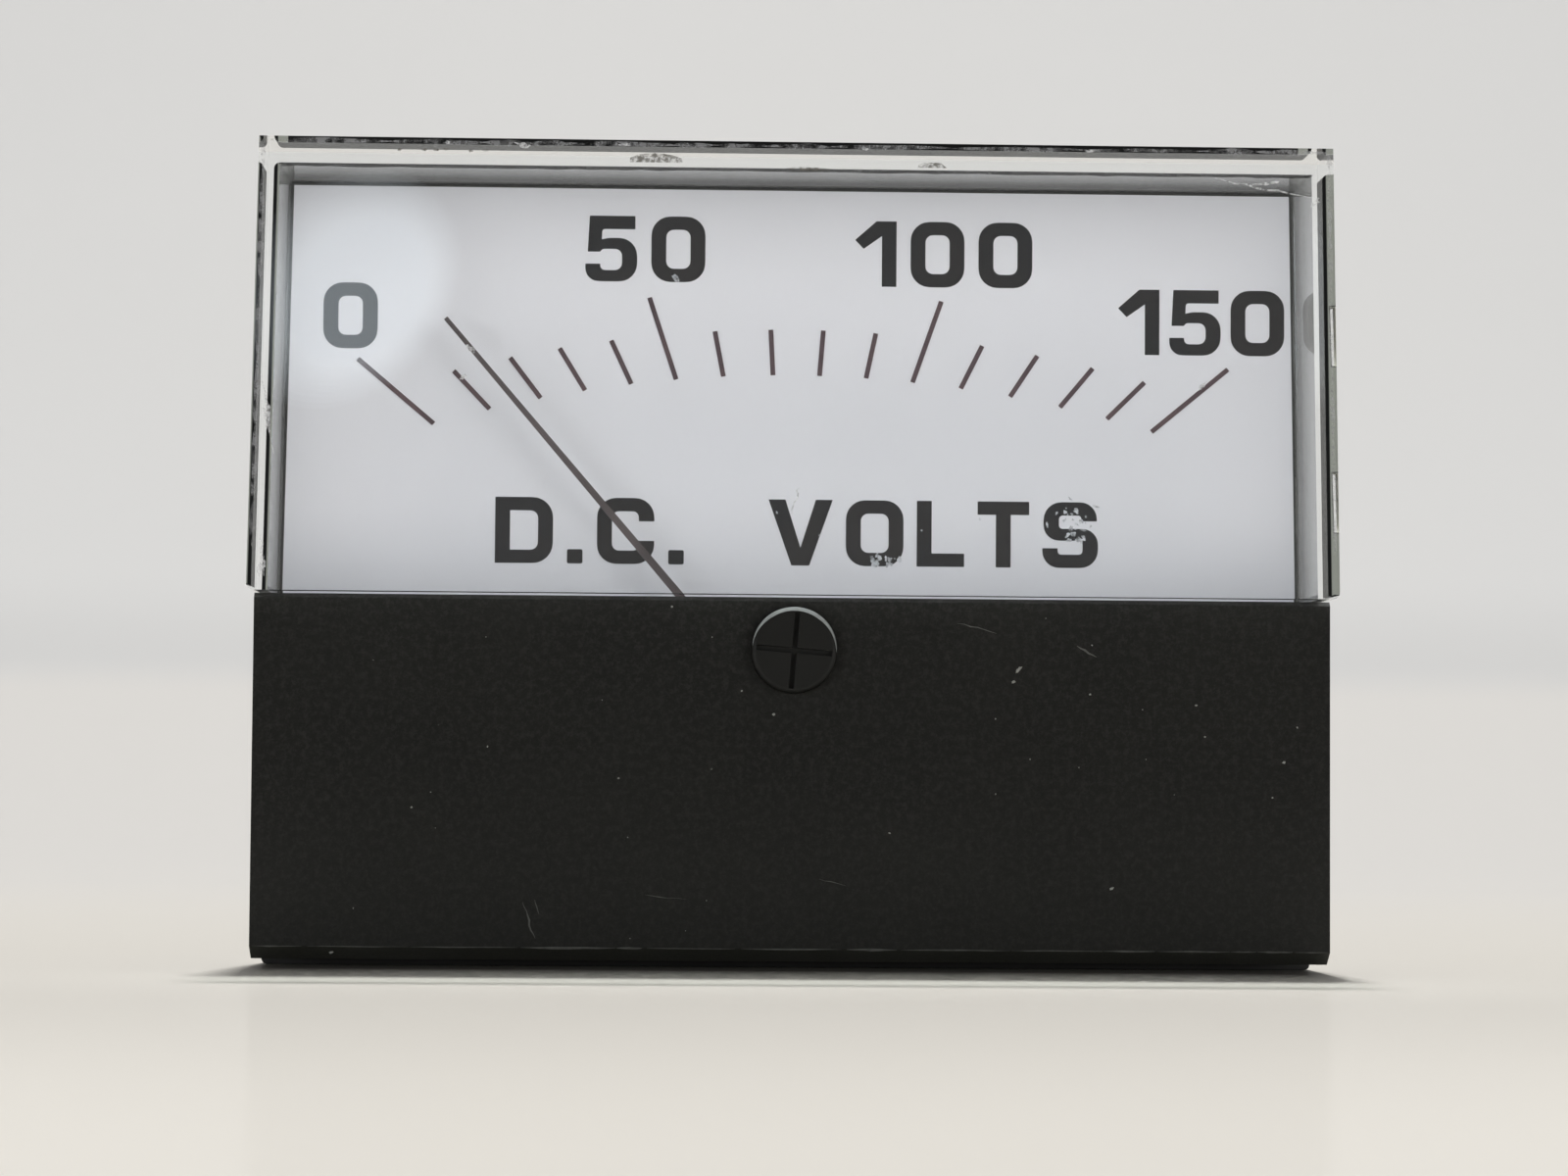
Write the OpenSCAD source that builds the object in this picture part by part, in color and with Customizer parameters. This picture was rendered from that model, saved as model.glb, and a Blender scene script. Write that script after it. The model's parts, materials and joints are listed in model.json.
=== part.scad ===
// Moving-coil panel meter with a clear window above a black mask.
// X is right, Y goes back through the panel and Z is up, in millimetres.
// The panel seat, the back of the flange, is at Y = 0 and the barrel is on the Y axis.

/* [Case] */
// Width of the window at its lower edge
case_w = 88.9; // [88.4:0.1:92]
// Height of the window's top above the middle, doubled
case_h = 67; // [66.6:0.2:70]
// Step from the window's top down to the flange's upper edge
flange_step = 0.85; // [0.5:0.05:1]
// Reach of the flange's lower edge past half the height
flange_drop = 0.65; // [0.4:0.05:1]
// Flange thickness
flange_t = 3; // [2.9:0.1:3.6]
// Flange corner radius
flange_r = 0.5; // [0.3:0.1:2]
// Barrel radius behind the panel
barrel_r = 27.7; // [27.6:0.1:28.4]
// Barrel wall thickness
barrel_wall = 2.5; // [2:0.1:2.5]
// Barrel depth behind the panel
barrel_depth = 25; // [24.5:0.5:29]
// Barrel end wall thickness
end_wall = 3; // [2.6:0.1:3.4]
// Chamfer round the barrel's rear edge
barrel_chamfer = 0.8; // [0.3:0.1:1.4]

/* [Window] */
// Height of the line where window and mask meet
split_z = -3.5; // [-4:0.1:-3.3]
// Window projection in front of the panel
window_depth = 15.7; // [15.2:0.1:17]
// Narrowing of the window on each side from its lower edge to its top
window_taper = 0.56; // [0:0.02:0.6]
// Front plate thickness
window_front_t = 1.7; // [1.4:0.1:2]
// Side wall thickness
window_wall_t = 1.6; // [1.4:0.1:1.8]
// Top wall thickness
window_top_t = 2; // [1.7:0.1:2.2]
// Rounding of the window's lower corners
window_corner_r = 0.6; // [0.3:0.1:1]
// Window tab thickness
tab_t = 0.5; // [0.4:0.1:0.6]
// Window tab height
tab_h = 5; // [3:0.5:8]
// Height of the lower pair of tabs
tab_low_z = 5; // [3:0.5:8]
// Height of the upper pair of tabs
tab_high_z = 19; // [15:0.5:20]

/* [Mask] */
// Step from the window's side in to the sides of mask and flange
mask_inset = 0.45; // [0.25:0.05:0.75]
// Mask projection in front of the panel
mask_depth = 13.5; // [13.3:0.1:14]
// Mask front thickness
mask_front_t = 1.8; // [1.5:0.1:1.9]
// Mask wall thickness
mask_wall_t = 1.6; // [1.4:0.1:1.8]
// Gap between window and mask
seam_gap = 0.12; // [0.05:0.01:0.25]
// Height that the mask's lower edge stays above the flange's
mask_lift = 0.8; // [0.5:0.1:1.1]
// Broken edge along the top of the mask's front
mask_edge = 0.35; // [0.2:0.05:0.5]
// Drop of the bevel along the lower front edge
bevel_drop = 1.05; // [0.6:0.05:1.4]
// Depth of the bevel along the lower front edge
bevel_back = 1.6; // [0.8:0.1:1.7]
// Distance of each mask screw from the mask's side
mask_screw_side = 6; // [5.6:0.1:7]
// Height of the mask screws above the mask's lower edge
mask_screw_rise = 5.35; // [4.9:0.05:5.8]
// Mask screw radius
mask_screw_r = 1.1; // [0.9:0.1:1.2]
// Mask screw boss radius
mask_boss_r = 2.6; // [2.3:0.1:2.8]

/* [Panel mounting] */
// Distance of the studs inward from the mask screws
stud_to_screw = 6; // [5.5:0.1:7]
// Distance of the studs from the flange's upper and lower edges
stud_edge = 8.5; // [8:0.05:9]
// Mounting stud radius
stud_r = 2.05; // [1.5:0.05:2.4]
// Radius of the stud's head inside the flange
stud_head_r = 2.9; // [2.6:0.1:3.2]
// Mounting stud length behind the panel
stud_len = 16; // [10:0.5:22]

/* [Dial] */
// Dial plate thickness
dial_t = 0.5; // [0.4:0.05:0.7]
// Gap between dial and window wall
dial_gap = 0.25; // [0.15:0.05:0.4]
// Lower edge of the dial
dial_low_z = -17; // [-18:0.5:-15]
// Radius of the cut-out round the movement
dial_cut_r = 10; // [9.9:0.05:10.2]
// Distance of each dial screw from the centre
dial_screw_x = 31; // [29:0.5:35]
// Height of the dial screws
dial_screw_z = -9; // [-11:0.5:-8]
// Dial screw radius
dial_screw_r = 0.9; // [0.7:0.1:1.1]
// Radius of the arc through the inner ends of the marks
scale_r = 105.4; // [100:0.5:115]
// Height of that arc above the panel's centre
scale_top_z = 15.6; // [14:0.1:17]
// Half of the scale's width along the inner ends
scale_half_w = 30.2; // [28:0.1:31]
// Number of marks
mark_count = 16; // [11:5:31]
// Marks from one long mark to the next
mark_group = 5; // [2:1:10]
// Length of the short marks across the arc
mark_short = 3.85; // [2.5:0.05:5]
// Length of the long marks across the arc
mark_long = 7.1; // [5.5:0.05:8]
// Width of a mark
mark_w = 0.4; // [0.2:0.05:0.6]
// Print thickness
print_t = 0.06; // [0.03:0.01:0.1]

/* [Zero adjuster] */
// Height of the zero screw
zero_z = -8; // [-8.3:0.05:-7.8]
// Radius of the zero screw's head
zero_head_r = 3.55; // [3:0.05:3.8]
// Height of the zero screw's head above the mask
zero_head_h = 1.2; // [0.9:0.1:1.8]
// Rounding of the head's rim
zero_rim_r = 0.45; // [0.2:0.05:0.7]
// Width of the cross slots
zero_slot_w = 0.42; // [0.3:0.02:0.8]
// Depth of the cross slots
zero_slot_d = 0.6; // [0.4:0.05:0.8]
// Turn of the cross slots, clockwise from the front
zero_slot_turn = 4.5; // [0:0.5:40]
// Radius of the screw's neck in the mask
zero_neck_r = 2.2; // [1.8:0.05:2.4]
// Distance of the eccentric pin from the screw's axis
pin_offset = 1; // [0.6:0.05:1.1]
// Radius of the eccentric pin
pin_r = 0.5; // [0.35:0.05:0.6]
// Clearance of the pin in the fork on each side
fork_gap = 0.1; // [0.06:0.01:0.2]

/* [Movement] */
// Gap between the yoke ring and the barrel's bore below it
yoke_gap = 0.5; // [0.3:0.05:0.6]
// Outer radius of the yoke ring
yoke_r = 10.6; // [10.4:0.05:10.7]
// Inner radius of the yoke ring
yoke_bore_r = 8; // [7.95:0.01:8.1]
// Core magnet radius
core_r = 6.4; // [6.2:0.05:6.45]
// Length of core and yoke
core_len = 12; // [11:0.5:13]
// Width of the webs between core and yoke
web_w = 2.4; // [1.6:0.1:2.4]
// Height of the bridges
bridge_h = 5.2; // [4.6:0.1:5.3]
// Bridge thickness
bridge_t = 1.2; // [1:0.1:1.3]
// Width of a bridge leg
leg_w = 1.6; // [1.5:0.05:1.65]
// Support plate thickness
plate_t = 2; // [1.5:0.1:2.4]
// Distance of each support screw from the barrel's bore
post_inset = 4.18; // [3.8:0.02:4.6]
// Angle of the support screws below the barrel's middle
post_angle = 25.35; // [24:0.05:27]
// Radius of the support posts
post_r = 2.6; // [2.2:0.1:2.9]
// Jewel screw radius
jewel_r = 1.1; // [1:0.02:1.15]

/* [Coil and pointer] */
// Angle of the pointer at rest, left of upright
rest_angle = 40.6; // [36:0.1:50]
// Pointer length from the pivot
pointer_len = 44.6; // [42:0.1:45]
// Pointer width at the hub
pointer_root_w = 0.8; // [0.6:0.05:1]
// Pointer width at the tip
pointer_tip_w = 0.36; // [0.25:0.01:0.5]
// Pointer thickness
pointer_t = 0.5; // [0.4:0.05:0.6]
// Coil width along the air gap
coil_w = 3.6; // [3:0.1:3.8]
// Winding thickness
winding_t = 0.5; // [0.35:0.05:0.5]
// Former thickness
former_t = 0.25; // [0.2:0.01:0.28]
// Former rim width on each side
rim_w = 0.4; // [0.25:0.05:0.4]
// Pivot shaft radius
shaft_r = 0.4; // [0.3:0.02:0.45]
// Hairspring strip thickness
spring_t = 0.09; // [0.06:0.01:0.14]
// Hairspring strip height
spring_h = 0.4; // [0.3:0.05:0.45]
// Turns in a hairspring
spring_turns = 4; // [3:1:5]
// Tail weight radius
tail_weight_r = 1.05; // [0.8:0.05:1.15]
// Side weight radius
side_weight_r = 0.7; // [0.5:0.05:0.8]

/* [Terminals] */
// Distance between the terminals
terminal_span = 28.6; // [27:0.1:30]
// Height of the terminals
terminal_z = 3; // [2.5:0.1:4]
// Terminal stud radius
terminal_r = 2.4; // [2.4:0.05:2.6]
// Radius of the stud's free end
terminal_end_r = 2.2; // [1.8:0.05:2.2]
// Free end of the terminal stud past the last nut
terminal_free = 5.6; // [4.5:0.1:9]
// Nut width across flats
nut_flats = 9.5; // [8.5:0.1:10.5]
// Nut thickness
nut_t = 3.2; // [2.5:0.1:4]
// Washer thickness
washer_t = 0.7; // [0.4:0.1:1]
// Washer radius
washer_r = 4.8; // [4.2:0.1:5.2]
// Resistor body radius
resistor_r = 2.4; // [1.6:0.1:2.8]
// Resistor body length
resistor_len = 13; // [10:0.5:15]
// Lead wire radius
wire_r = 0.5; // [0.35:0.05:0.6]

/* [Hidden] */
$fn = 48;

// small clearances shared by both sides of a fit
fit = 0.05;
slip = 0.08;
over = 1;
sides = [-1, 1];

// case
half_w = case_w / 2;
half_h = case_h / 2;
flange_y = -flange_t;
flange_top_z = half_h - flange_step;
flange_low_z = -half_h - flange_drop;
bore_r = barrel_r - barrel_wall;
end_y = barrel_depth - end_wall;
window_y = -window_depth;
window_in_y = window_y + window_front_t;
taper_slope = window_taper / (half_h - split_z);
window_top_in_z = half_h - window_top_t;
mask_w = case_w - 2 * mask_inset;
mask_y = -mask_depth;
mask_in_y = mask_y + mask_front_t;
mask_top_z = split_z - seam_gap;
mask_low_z = flange_low_z + mask_lift;
mask_in_x = mask_w / 2 - mask_wall_t;
mask_screw_x = mask_w / 2 - mask_screw_side;
mask_screw_z = mask_low_z + mask_screw_rise;
mask_screw_len = 6.5;
mask_head_r = mask_screw_r * 2;
mask_head_t = 1.3;
tab_len = flange_t - 0.4;
tab_set = 0.1;
stud_cover = 0.6;
stud_root = flange_t - stud_cover;
stud_span_x = 2 * (mask_screw_x - stud_to_screw);
stud_span_z = case_h - 2 * stud_edge;

// dial
dial_y = flange_y - dial_t;
scale_low_z = scale_top_z - scale_r;
mark_pitch = 2 * scale_half_w / (mark_count - 1);
// the scale's marks aren't quite evenly spaced; shift of each to the right
mark_shift = [0.1, 0.75, 1, 0.7, 0.55, 0.3, 0.25, 0.4, 0.3, 0.2, 0.1, 0.15, 0.3, 0.5, 0.45, 0.2];
dial_head_r = dial_screw_r * 1.9;
dial_head_t = 1;
dial_bite = 2;
stop_r = 0.5;
stop_dist = 14;
stop_angle = 62;

// movement, along the axis from front to back
pivot_z = yoke_gap + yoke_r - bore_r;
pivot_gap = pivot_z - zero_z;
yoke_step = 0.2;
yoke_y = flange_y + yoke_step;
yoke_end_y = yoke_y + core_len;
core_gap = 0.6;
former_in = core_r + 0.35;
former_out = former_in + former_t;
winding_out = former_out + winding_t;
coil_y = yoke_y - core_gap - former_t - winding_t;
coil_end_y = yoke_end_y + core_gap + former_t + winding_t;
base_disc_t = 0.5;
base_disc_r = 1.5;
pointer_step = 2.65;
pointer_y = coil_y - pointer_step;
spring_step = 0.8;
spring_y = pointer_y - spring_step;
bridge_gap = 0.4;
bridge_y = spring_y - bridge_gap - bridge_t;
bridge_back_y = bridge_y + bridge_t;
cup_d = 0.5;
cup_gap = 0.15;
cup_r = shaft_r + cup_gap;
cup_mouth_y = spring_y - cup_gap;
tip_y = cup_mouth_y - cup_d + cup_gap;
lever_t = 0.6;
lever_gap = 0.4;
lever_y = bridge_y - lever_gap - lever_t;
jewel_nut_t = 0.4;
jewel_nut_r = 1.9;
jewel_proud = 0.15;
jewel_y = lever_y - jewel_nut_t - jewel_proud;
jewel_slot_w = 0.3;
jewel_slot_d = 0.4;
rear_step = 1.85;
rear_spring_y = coil_end_y + rear_step;
rear_cup_step = 1.15;
rear_mouth_y = rear_spring_y + spring_h + rear_cup_step;
rear_tip_y = rear_mouth_y + cup_d - cup_gap;
rear_gap = 1.6;
rear_bridge_y = rear_spring_y + spring_h + rear_gap;
rear_bridge_end = rear_bridge_y + bridge_t;
anchor_t = 0.5;
anchor_end = rear_bridge_end + anchor_t;
anchor_rise = 5;
rear_proud = 0.4;
rear_jewel_end = anchor_end + jewel_nut_t + rear_proud;
leg_x = yoke_bore_r + leg_w / 2;
leg_h = 3.6;
bridge_screw_r = 0.55;
bridge_head_r = 1.1;
bridge_head_t = 0.8;
bridge_bite = 2.4;
spring_in_r = 0.9;
spring_out_r = 3.35;
tab_face = spring_out_r + spring_t / 2;
anchor_tab_t = 0.6;
anchor_tab_w = 1.6;
lever_ring_r = 2.4;
lever_over = 0.6;
lever_tip = pin_offset - pivot_gap + pin_r + lever_over;
fork_w = 2 * (pin_r + fork_gap);
fork_under = 0.2;
fork_floor = pin_offset * 0.8 - pivot_gap - pin_r - fork_under;
post_x = (bore_r - post_inset) * cos(post_angle);
post_z = (post_inset - bore_r) * sin(post_angle);
plate_y = 2;
plate_end_y = plate_y + plate_t;
plate_over = 2.8;
plate_under = 6;
plate_top_z = pivot_z + yoke_r + plate_over;
plate_low_z = pivot_z - plate_under;
plate_screw_r = 0.95;
plate_head_r = 1.9;
plate_head_t = 1.2;
plate_bite = 6;

// pointer hub, tail and weights
hub_r = 1.4;
arm_w = 0.5;
tail_len = 7.6;
tail_from = 4.5;
tail_to = 7.4;
side_len = 5.8;
side_from = 4.2;
side_to = 5.6;

// zero screw behind the mask
clip_r = 3.3;
clip_t = 0.4;
clip_y = mask_in_y + fit;
neck_proud = 0.2;
neck_end_y = clip_y + clip_t + neck_proud;
pin_proud = 0.15;
pin_end_y = lever_y + lever_t + pin_proud;

// terminals, along the axis
terminal_x = terminal_span / 2;
terminal_boss_r = washer_r + 0.5;
terminal_boss_t = 0.6;
lug_t = 0.5;
lug_tip_z = 10;
head_r = 4;
head_t = 1.5;
stack_y = barrel_depth + terminal_boss_t;
washer_step = washer_t + nut_t;
free_y = stack_y + 2 * washer_step;
terminal_end_y = free_y + terminal_free;
tip_chamfer = 0.5;
resistor_off = 3.8;
resistor_y = end_y - resistor_off;
resistor_lead_r = 0.35;
resistor_tail_x = 10;
lead_sides = 10;
lead_bend = 2;
lead_swing = 4.5;
lead_sag = 2.5;
lead_foot_x = 13.5;
tag_rise = 4.2;
tag_stand = 1.6;
lead_ref = [0.94, 0, 0.34];

function wall_x(z) = half_w - taper_slope * (z - split_z);
function mark_x(i) = -scale_half_w + i * mark_pitch + (mark_count == len(mark_shift) ? mark_shift[i] : 0);
function mark_z(i) = scale_low_z + sqrt(scale_r * scale_r - mark_x(i) * mark_x(i));
function mark_angle(i) = atan2(mark_x(i), mark_z(i) - pivot_z);
function reach(i, grow) =
    let (sx = sin(mark_angle(i)),
         sz = cos(mark_angle(i)),
         b = sx * mark_x(i) + sz * (mark_z(i) - scale_low_z),
         big = scale_r + grow)
    sqrt(b * b + big * big - scale_r * scale_r) - b;
function spiral(turns, from, to, steps) =
    [for (k = [0 : steps])
        let (a = 270 - 360 * turns * (1 - k / steps),
             r = from + (to - from) * k / steps)
        [r * cos(a), r * sin(a)]];

function unit(v) = v / norm(v);
function blend(a, b, c, d, t) =
    0.5 * (2 * b + (c - a) * t + (2 * a - 5 * b + 4 * c - d) * t * t + (3 * b - a - 3 * c + d) * t * t * t);
function curve(path, steps) =
    let (last = len(path) - 1)
    concat([for (i = [0 : last - 1], k = [0 : steps - 1])
               blend(path[max(i - 1, 0)], path[i], path[i + 1], path[min(i + 2, last)], k / steps)],
           [path[last]]);

// a flat shape in X and Z, from y0 back to y1
module slab(y0, y1) {
    translate([0, y1, 0])
        rotate([90, 0, 0])
            linear_extrude(y1 - y0)
                children();
}

// a round bar along Y, from y0 back to y1
module rod(y0, y1, r, x = 0, z = 0) {
    translate([x, y1, z])
        rotate([90, 0, 0])
            cylinder(h = y1 - y0, r = r);
}

module at_pivot() {
    translate([0, 0, pivot_z])
        children();
}

// the turning parts, upright at mid scale, at their rest angle
module swung() {
    at_pivot()
        rotate([0, -rest_angle, 0])
            children();
}

// a round lead along a smooth curve through the listed points
module lead(path, r) {
    line = curve(path, 5);
    count = len(line);
    rings = [for (i = [0 : count - 1])
                let (t = i == 0 ? unit(path[1] - path[0])
                       : i == count - 1 ? unit(path[len(path) - 1] - path[len(path) - 2])
                       : unit(line[i + 1] - line[i - 1]),
                     u = unit(cross(t, lead_ref)),
                     v = cross(t, u))
                for (k = [0 : lead_sides - 1])
                    line[i] + r * (cos(k * 360 / lead_sides) * u + sin(k * 360 / lead_sides) * v)];
    skin = [for (i = [0 : count - 2], k = [0 : lead_sides - 1])
               let (a = i * lead_sides + k,
                    b = i * lead_sides + (k + 1) % lead_sides)
               each [[a, a + lead_sides, b], [b, a + lead_sides, b + lead_sides]]];
    ends = [[for (k = [0 : lead_sides - 1]) k],
            [for (k = [0 : lead_sides - 1]) count * lead_sides - 1 - k]];
    polyhedron(points = rings, faces = concat(skin, ends), convexity = 4);
}

module window_tabs(grow) {
    for (sx = sides, z = [tab_low_z, tab_high_z])
        translate([sx * (wall_x(z) - window_wall_t + tab_set + tab_t / 2), flange_y + tab_len / 2 - 0.5, z])
            cube([tab_t + 2 * grow, tab_len + 1, tab_h + 2 * grow], center = true);
}

// the flange stays inside the window's walls, which stand past it at the sides and the top
module flange_outline() {
    top_x = wall_x(flange_top_z) - mask_inset;
    low_x = mask_w / 2;
    offset(flange_r)
        offset(delta = -flange_r)
            polygon([[-low_x, flange_low_z], [low_x, flange_low_z], [low_x, split_z],
                     [top_x, flange_top_z], [-top_x, flange_top_z], [-low_x, split_z]]);
}

module base() {
    color([0.09, 0.09, 0.085])
    difference() {
        union() {
            slab(flange_y, 0)
                flange_outline();
            rod(flange_y, barrel_depth - barrel_chamfer, barrel_r);
            translate([0, barrel_depth, 0])
                rotate([90, 0, 0])
                    cylinder(h = barrel_chamfer, r1 = barrel_r - barrel_chamfer, r2 = barrel_r);
            for (sx = sides)
                rod(end_y, stack_y, terminal_boss_r, sx * terminal_x, terminal_z);
        }
        difference() {
            rod(flange_y - over, end_y, bore_r);
            for (sx = sides)
                rod(plate_end_y, end_y + over, post_r, sx * post_x, post_z);
        }
        for (sx = sides) {
            rod(end_y - over, stack_y + over, terminal_r + fit, sx * terminal_x, terminal_z);
            rod(plate_end_y - over, plate_end_y + plate_bite + over, plate_screw_r + fit, sx * post_x, post_z);
            rod(flange_y - over, over, mask_screw_r + 0.2, sx * mask_screw_x, mask_screw_z);
            rod(-mask_head_t - 0.1, over, mask_head_r + 0.2, sx * mask_screw_x, mask_screw_z);
            rod(flange_y - over, flange_y + dial_bite + slip, dial_screw_r + fit, sx * dial_screw_x, dial_screw_z);
            for (sz = sides)
                rod(-stud_root, over, stud_head_r, sx * stud_span_x / 2, sz * stud_span_z / 2);
        }
        translate([0, over, 0])
            window_tabs(slip);
        window_tabs(slip);
    }
}

module window_outline(inset_side, inset_top) {
    polygon([[-wall_x(split_z) + inset_side, split_z - (inset_side > 0 ? over : 0)],
             [wall_x(split_z) - inset_side, split_z - (inset_side > 0 ? over : 0)],
             [wall_x(half_h) - inset_side, half_h - inset_top],
             [inset_side - wall_x(half_h), half_h - inset_top]]);
}

module window() {
    color([0.86, 0.89, 0.9, 0.35])
    difference() {
        union() {
            slab(window_y, flange_y)
                window_outline(0, 0);
            window_tabs(0);
        }
        difference() {
            slab(window_in_y, flange_y + over)
                window_outline(window_wall_t, window_top_t);
            translate([0, over, 0])
                window_tabs(0);
            window_tabs(0);
        }
        for (sx = sides)
            translate([sx * (half_w - window_corner_r), 0, split_z + window_corner_r])
                rotate([0, sx > 0 ? 90 : 180, 0])
                    slab(window_y - over, flange_y + over)
                        difference() {
                            square(window_corner_r + over);
                            circle(window_corner_r);
                        }
    }
}

module mask() {
    color([0.12, 0.12, 0.11])
    difference() {
        union() {
            difference() {
                translate([-mask_w / 2, 0, 0])
                    rotate([90, 0, 90])
                        linear_extrude(mask_w)
                            polygon([[mask_y + mask_edge, mask_top_z],
                                     [mask_y, mask_top_z - mask_edge],
                                     [mask_y, mask_low_z + bevel_drop],
                                     [mask_y + bevel_back, mask_low_z],
                                     [flange_y, mask_low_z],
                                     [flange_y, mask_top_z]]);
                translate([-mask_in_x, mask_in_y, mask_low_z + mask_wall_t])
                    cube([2 * mask_in_x, mask_depth, half_h * 2]);
            }
            for (sx = sides)
                rod(mask_in_y - fit, flange_y, mask_boss_r, sx * mask_screw_x, mask_screw_z);
        }
        for (sx = sides)
            rod(flange_y - mask_screw_len, over, mask_screw_r + fit, sx * mask_screw_x, mask_screw_z);
        rod(mask_y - over, mask_in_y + over, zero_neck_r + fit, 0, zero_z);
    }
}

module mask_screws() {
    color([0.6, 0.6, 0.58])
    for (sx = sides)
        difference() {
            union() {
                rod(-mask_head_t - 0.1, -0.1, mask_head_r, sx * mask_screw_x, mask_screw_z);
                rod(flange_y - mask_screw_len + 0.4, -0.2, mask_screw_r, sx * mask_screw_x, mask_screw_z);
            }
            translate([sx * mask_screw_x, -0.1, mask_screw_z])
                cube([4 * mask_head_r, 1, 0.5], center = true);
        }
}

module mounting_studs() {
    color([0.66, 0.64, 0.58])
    for (sx = sides, sz = sides)
        translate([sx * stud_span_x / 2, 0, sz * stud_span_z / 2]) {
            rod(-stud_root, 0, stud_head_r);
            rod(-fit, stud_len - tip_chamfer, stud_r);
            translate([0, stud_len, 0])
                rotate([90, 0, 0])
                    cylinder(h = tip_chamfer, r1 = stud_r - tip_chamfer, r2 = stud_r);
        }
}

module dial_plate() {
    lower_x = mask_in_x - dial_gap;
    color([0.9, 0.9, 0.93])
    slab(dial_y, flange_y)
        difference() {
            union() {
                intersection() {
                    window_outline(window_wall_t + dial_gap, window_top_t + dial_gap);
                    translate([-half_w, split_z + 0.3])
                        square([case_w, half_h * 2]);
                }
                translate([-lower_x, dial_low_z])
                    square([2 * lower_x, split_z + 0.3 - dial_low_z]);
            }
            translate([0, pivot_z])
                circle(dial_cut_r);
            translate([-dial_cut_r, dial_low_z - over])
                square([2 * dial_cut_r, pivot_z - dial_low_z + over]);
            for (sx = sides) {
                translate([sx * dial_screw_x, dial_screw_z])
                    circle(dial_screw_r + 0.1);
                translate([sx * stop_dist * sin(stop_angle), pivot_z + stop_dist * cos(stop_angle)])
                    circle(stop_r);
            }
        }
}

module dial_screws() {
    color([0.7, 0.68, 0.62])
    for (sx = sides)
        difference() {
            union() {
                rod(dial_y - dial_head_t, dial_y, dial_head_r, sx * dial_screw_x, dial_screw_z);
                rod(dial_y - fit, flange_y + dial_bite, dial_screw_r, sx * dial_screw_x, dial_screw_z);
            }
            translate([sx * dial_screw_x, dial_y - dial_head_t, dial_screw_z])
                cube([4 * dial_head_r, 0.9, 0.4], center = true);
        }
}

module scale_marks() {
    color([0.16, 0.13, 0.12])
    slab(dial_y - print_t, dial_y)
        for (i = [0 : mark_count - 1])
            translate([mark_x(i), mark_z(i)])
                rotate(-mark_angle(i))
                    translate([-mark_w / 2, 0])
                        square([mark_w, reach(i, i % mark_group == 0 ? mark_long : mark_short)]);
}

module pointer_stops() {
    color([0.7, 0.6, 0.35])
    for (sx = sides)
        rod(spring_y, flange_y - 0.02, stop_r, sx * stop_dist * sin(stop_angle),
            pivot_z + stop_dist * cos(stop_angle));
}

module zero_screw() {
    color([0.14, 0.14, 0.12])
    translate([0, 0, zero_z]) {
        difference() {
            translate([0, mask_y - fit, 0])
                rotate([90, 0, 0])
                    rotate_extrude() {
                        square([zero_head_r - zero_rim_r, zero_head_h]);
                        square([zero_head_r, zero_head_h - zero_rim_r]);
                        translate([zero_head_r - zero_rim_r, zero_head_h - zero_rim_r])
                            circle(zero_rim_r);
                    }
            for (a = [0, 90])
                rotate([0, zero_slot_turn + a, 0])
                    translate([0, mask_y - fit - zero_head_h, 0])
                        cube([2 * (zero_head_r - zero_rim_r), 2 * zero_slot_d, zero_slot_w], center = true);
        }
        rod(mask_y - 2 * fit, neck_end_y, zero_neck_r);
        rod(neck_end_y - 0.1, pin_end_y, pin_r, 0, pin_offset);
    }
}

module zero_clip() {
    color([0.62, 0.62, 0.6])
    slab(clip_y, clip_y + clip_t)
        translate([0, zero_z])
            difference() {
                circle(clip_r);
                circle(zero_neck_r);
            }
}

module zero_lever() {
    color([0.76, 0.62, 0.3])
    at_pivot() {
        slab(lever_y, lever_y + lever_t)
            difference() {
                union() {
                    circle(lever_ring_r);
                    translate([-1.1, 0])
                        square([2.2, lever_tip - 1]);
                    translate([-1.5, fork_floor - 0.8])
                        square([3, lever_tip - fork_floor + 0.8]);
                    translate([-anchor_tab_w / 2, -tab_face - anchor_tab_t])
                        square([anchor_tab_w, tab_face + anchor_tab_t]);
                }
                circle(jewel_r + fit);
                translate([-fork_w / 2, fork_floor])
                    square([fork_w, lever_tip]);
            }
        slab(lever_y, spring_y + spring_h)
            translate([-anchor_tab_w / 2, -tab_face - anchor_tab_t])
                square([anchor_tab_w, anchor_tab_t]);
    }
}

module support_plate() {
    color([0.7, 0.7, 0.68])
    slab(plate_y, plate_end_y)
        difference() {
            intersection() {
                circle(bore_r - 0.4);
                translate([-bore_r, plate_low_z])
                    square([2 * bore_r, plate_top_z - plate_low_z]);
            }
            translate([0, pivot_z])
                circle(yoke_r);
            for (sx = sides)
                translate([sx * post_x, post_z])
                    circle(plate_screw_r + 0.15);
        }
}

module support_screws() {
    color([0.64, 0.64, 0.62])
    for (sx = sides)
        difference() {
            union() {
                rod(plate_y - plate_head_t, plate_y, plate_head_r, sx * post_x, post_z);
                rod(plate_y - 0.1, plate_end_y + plate_bite, plate_screw_r, sx * post_x, post_z);
            }
            translate([sx * post_x, plate_y - plate_head_t, post_z])
                cube([4 * plate_head_r, 1, 0.5], center = true);
        }
}

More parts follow.
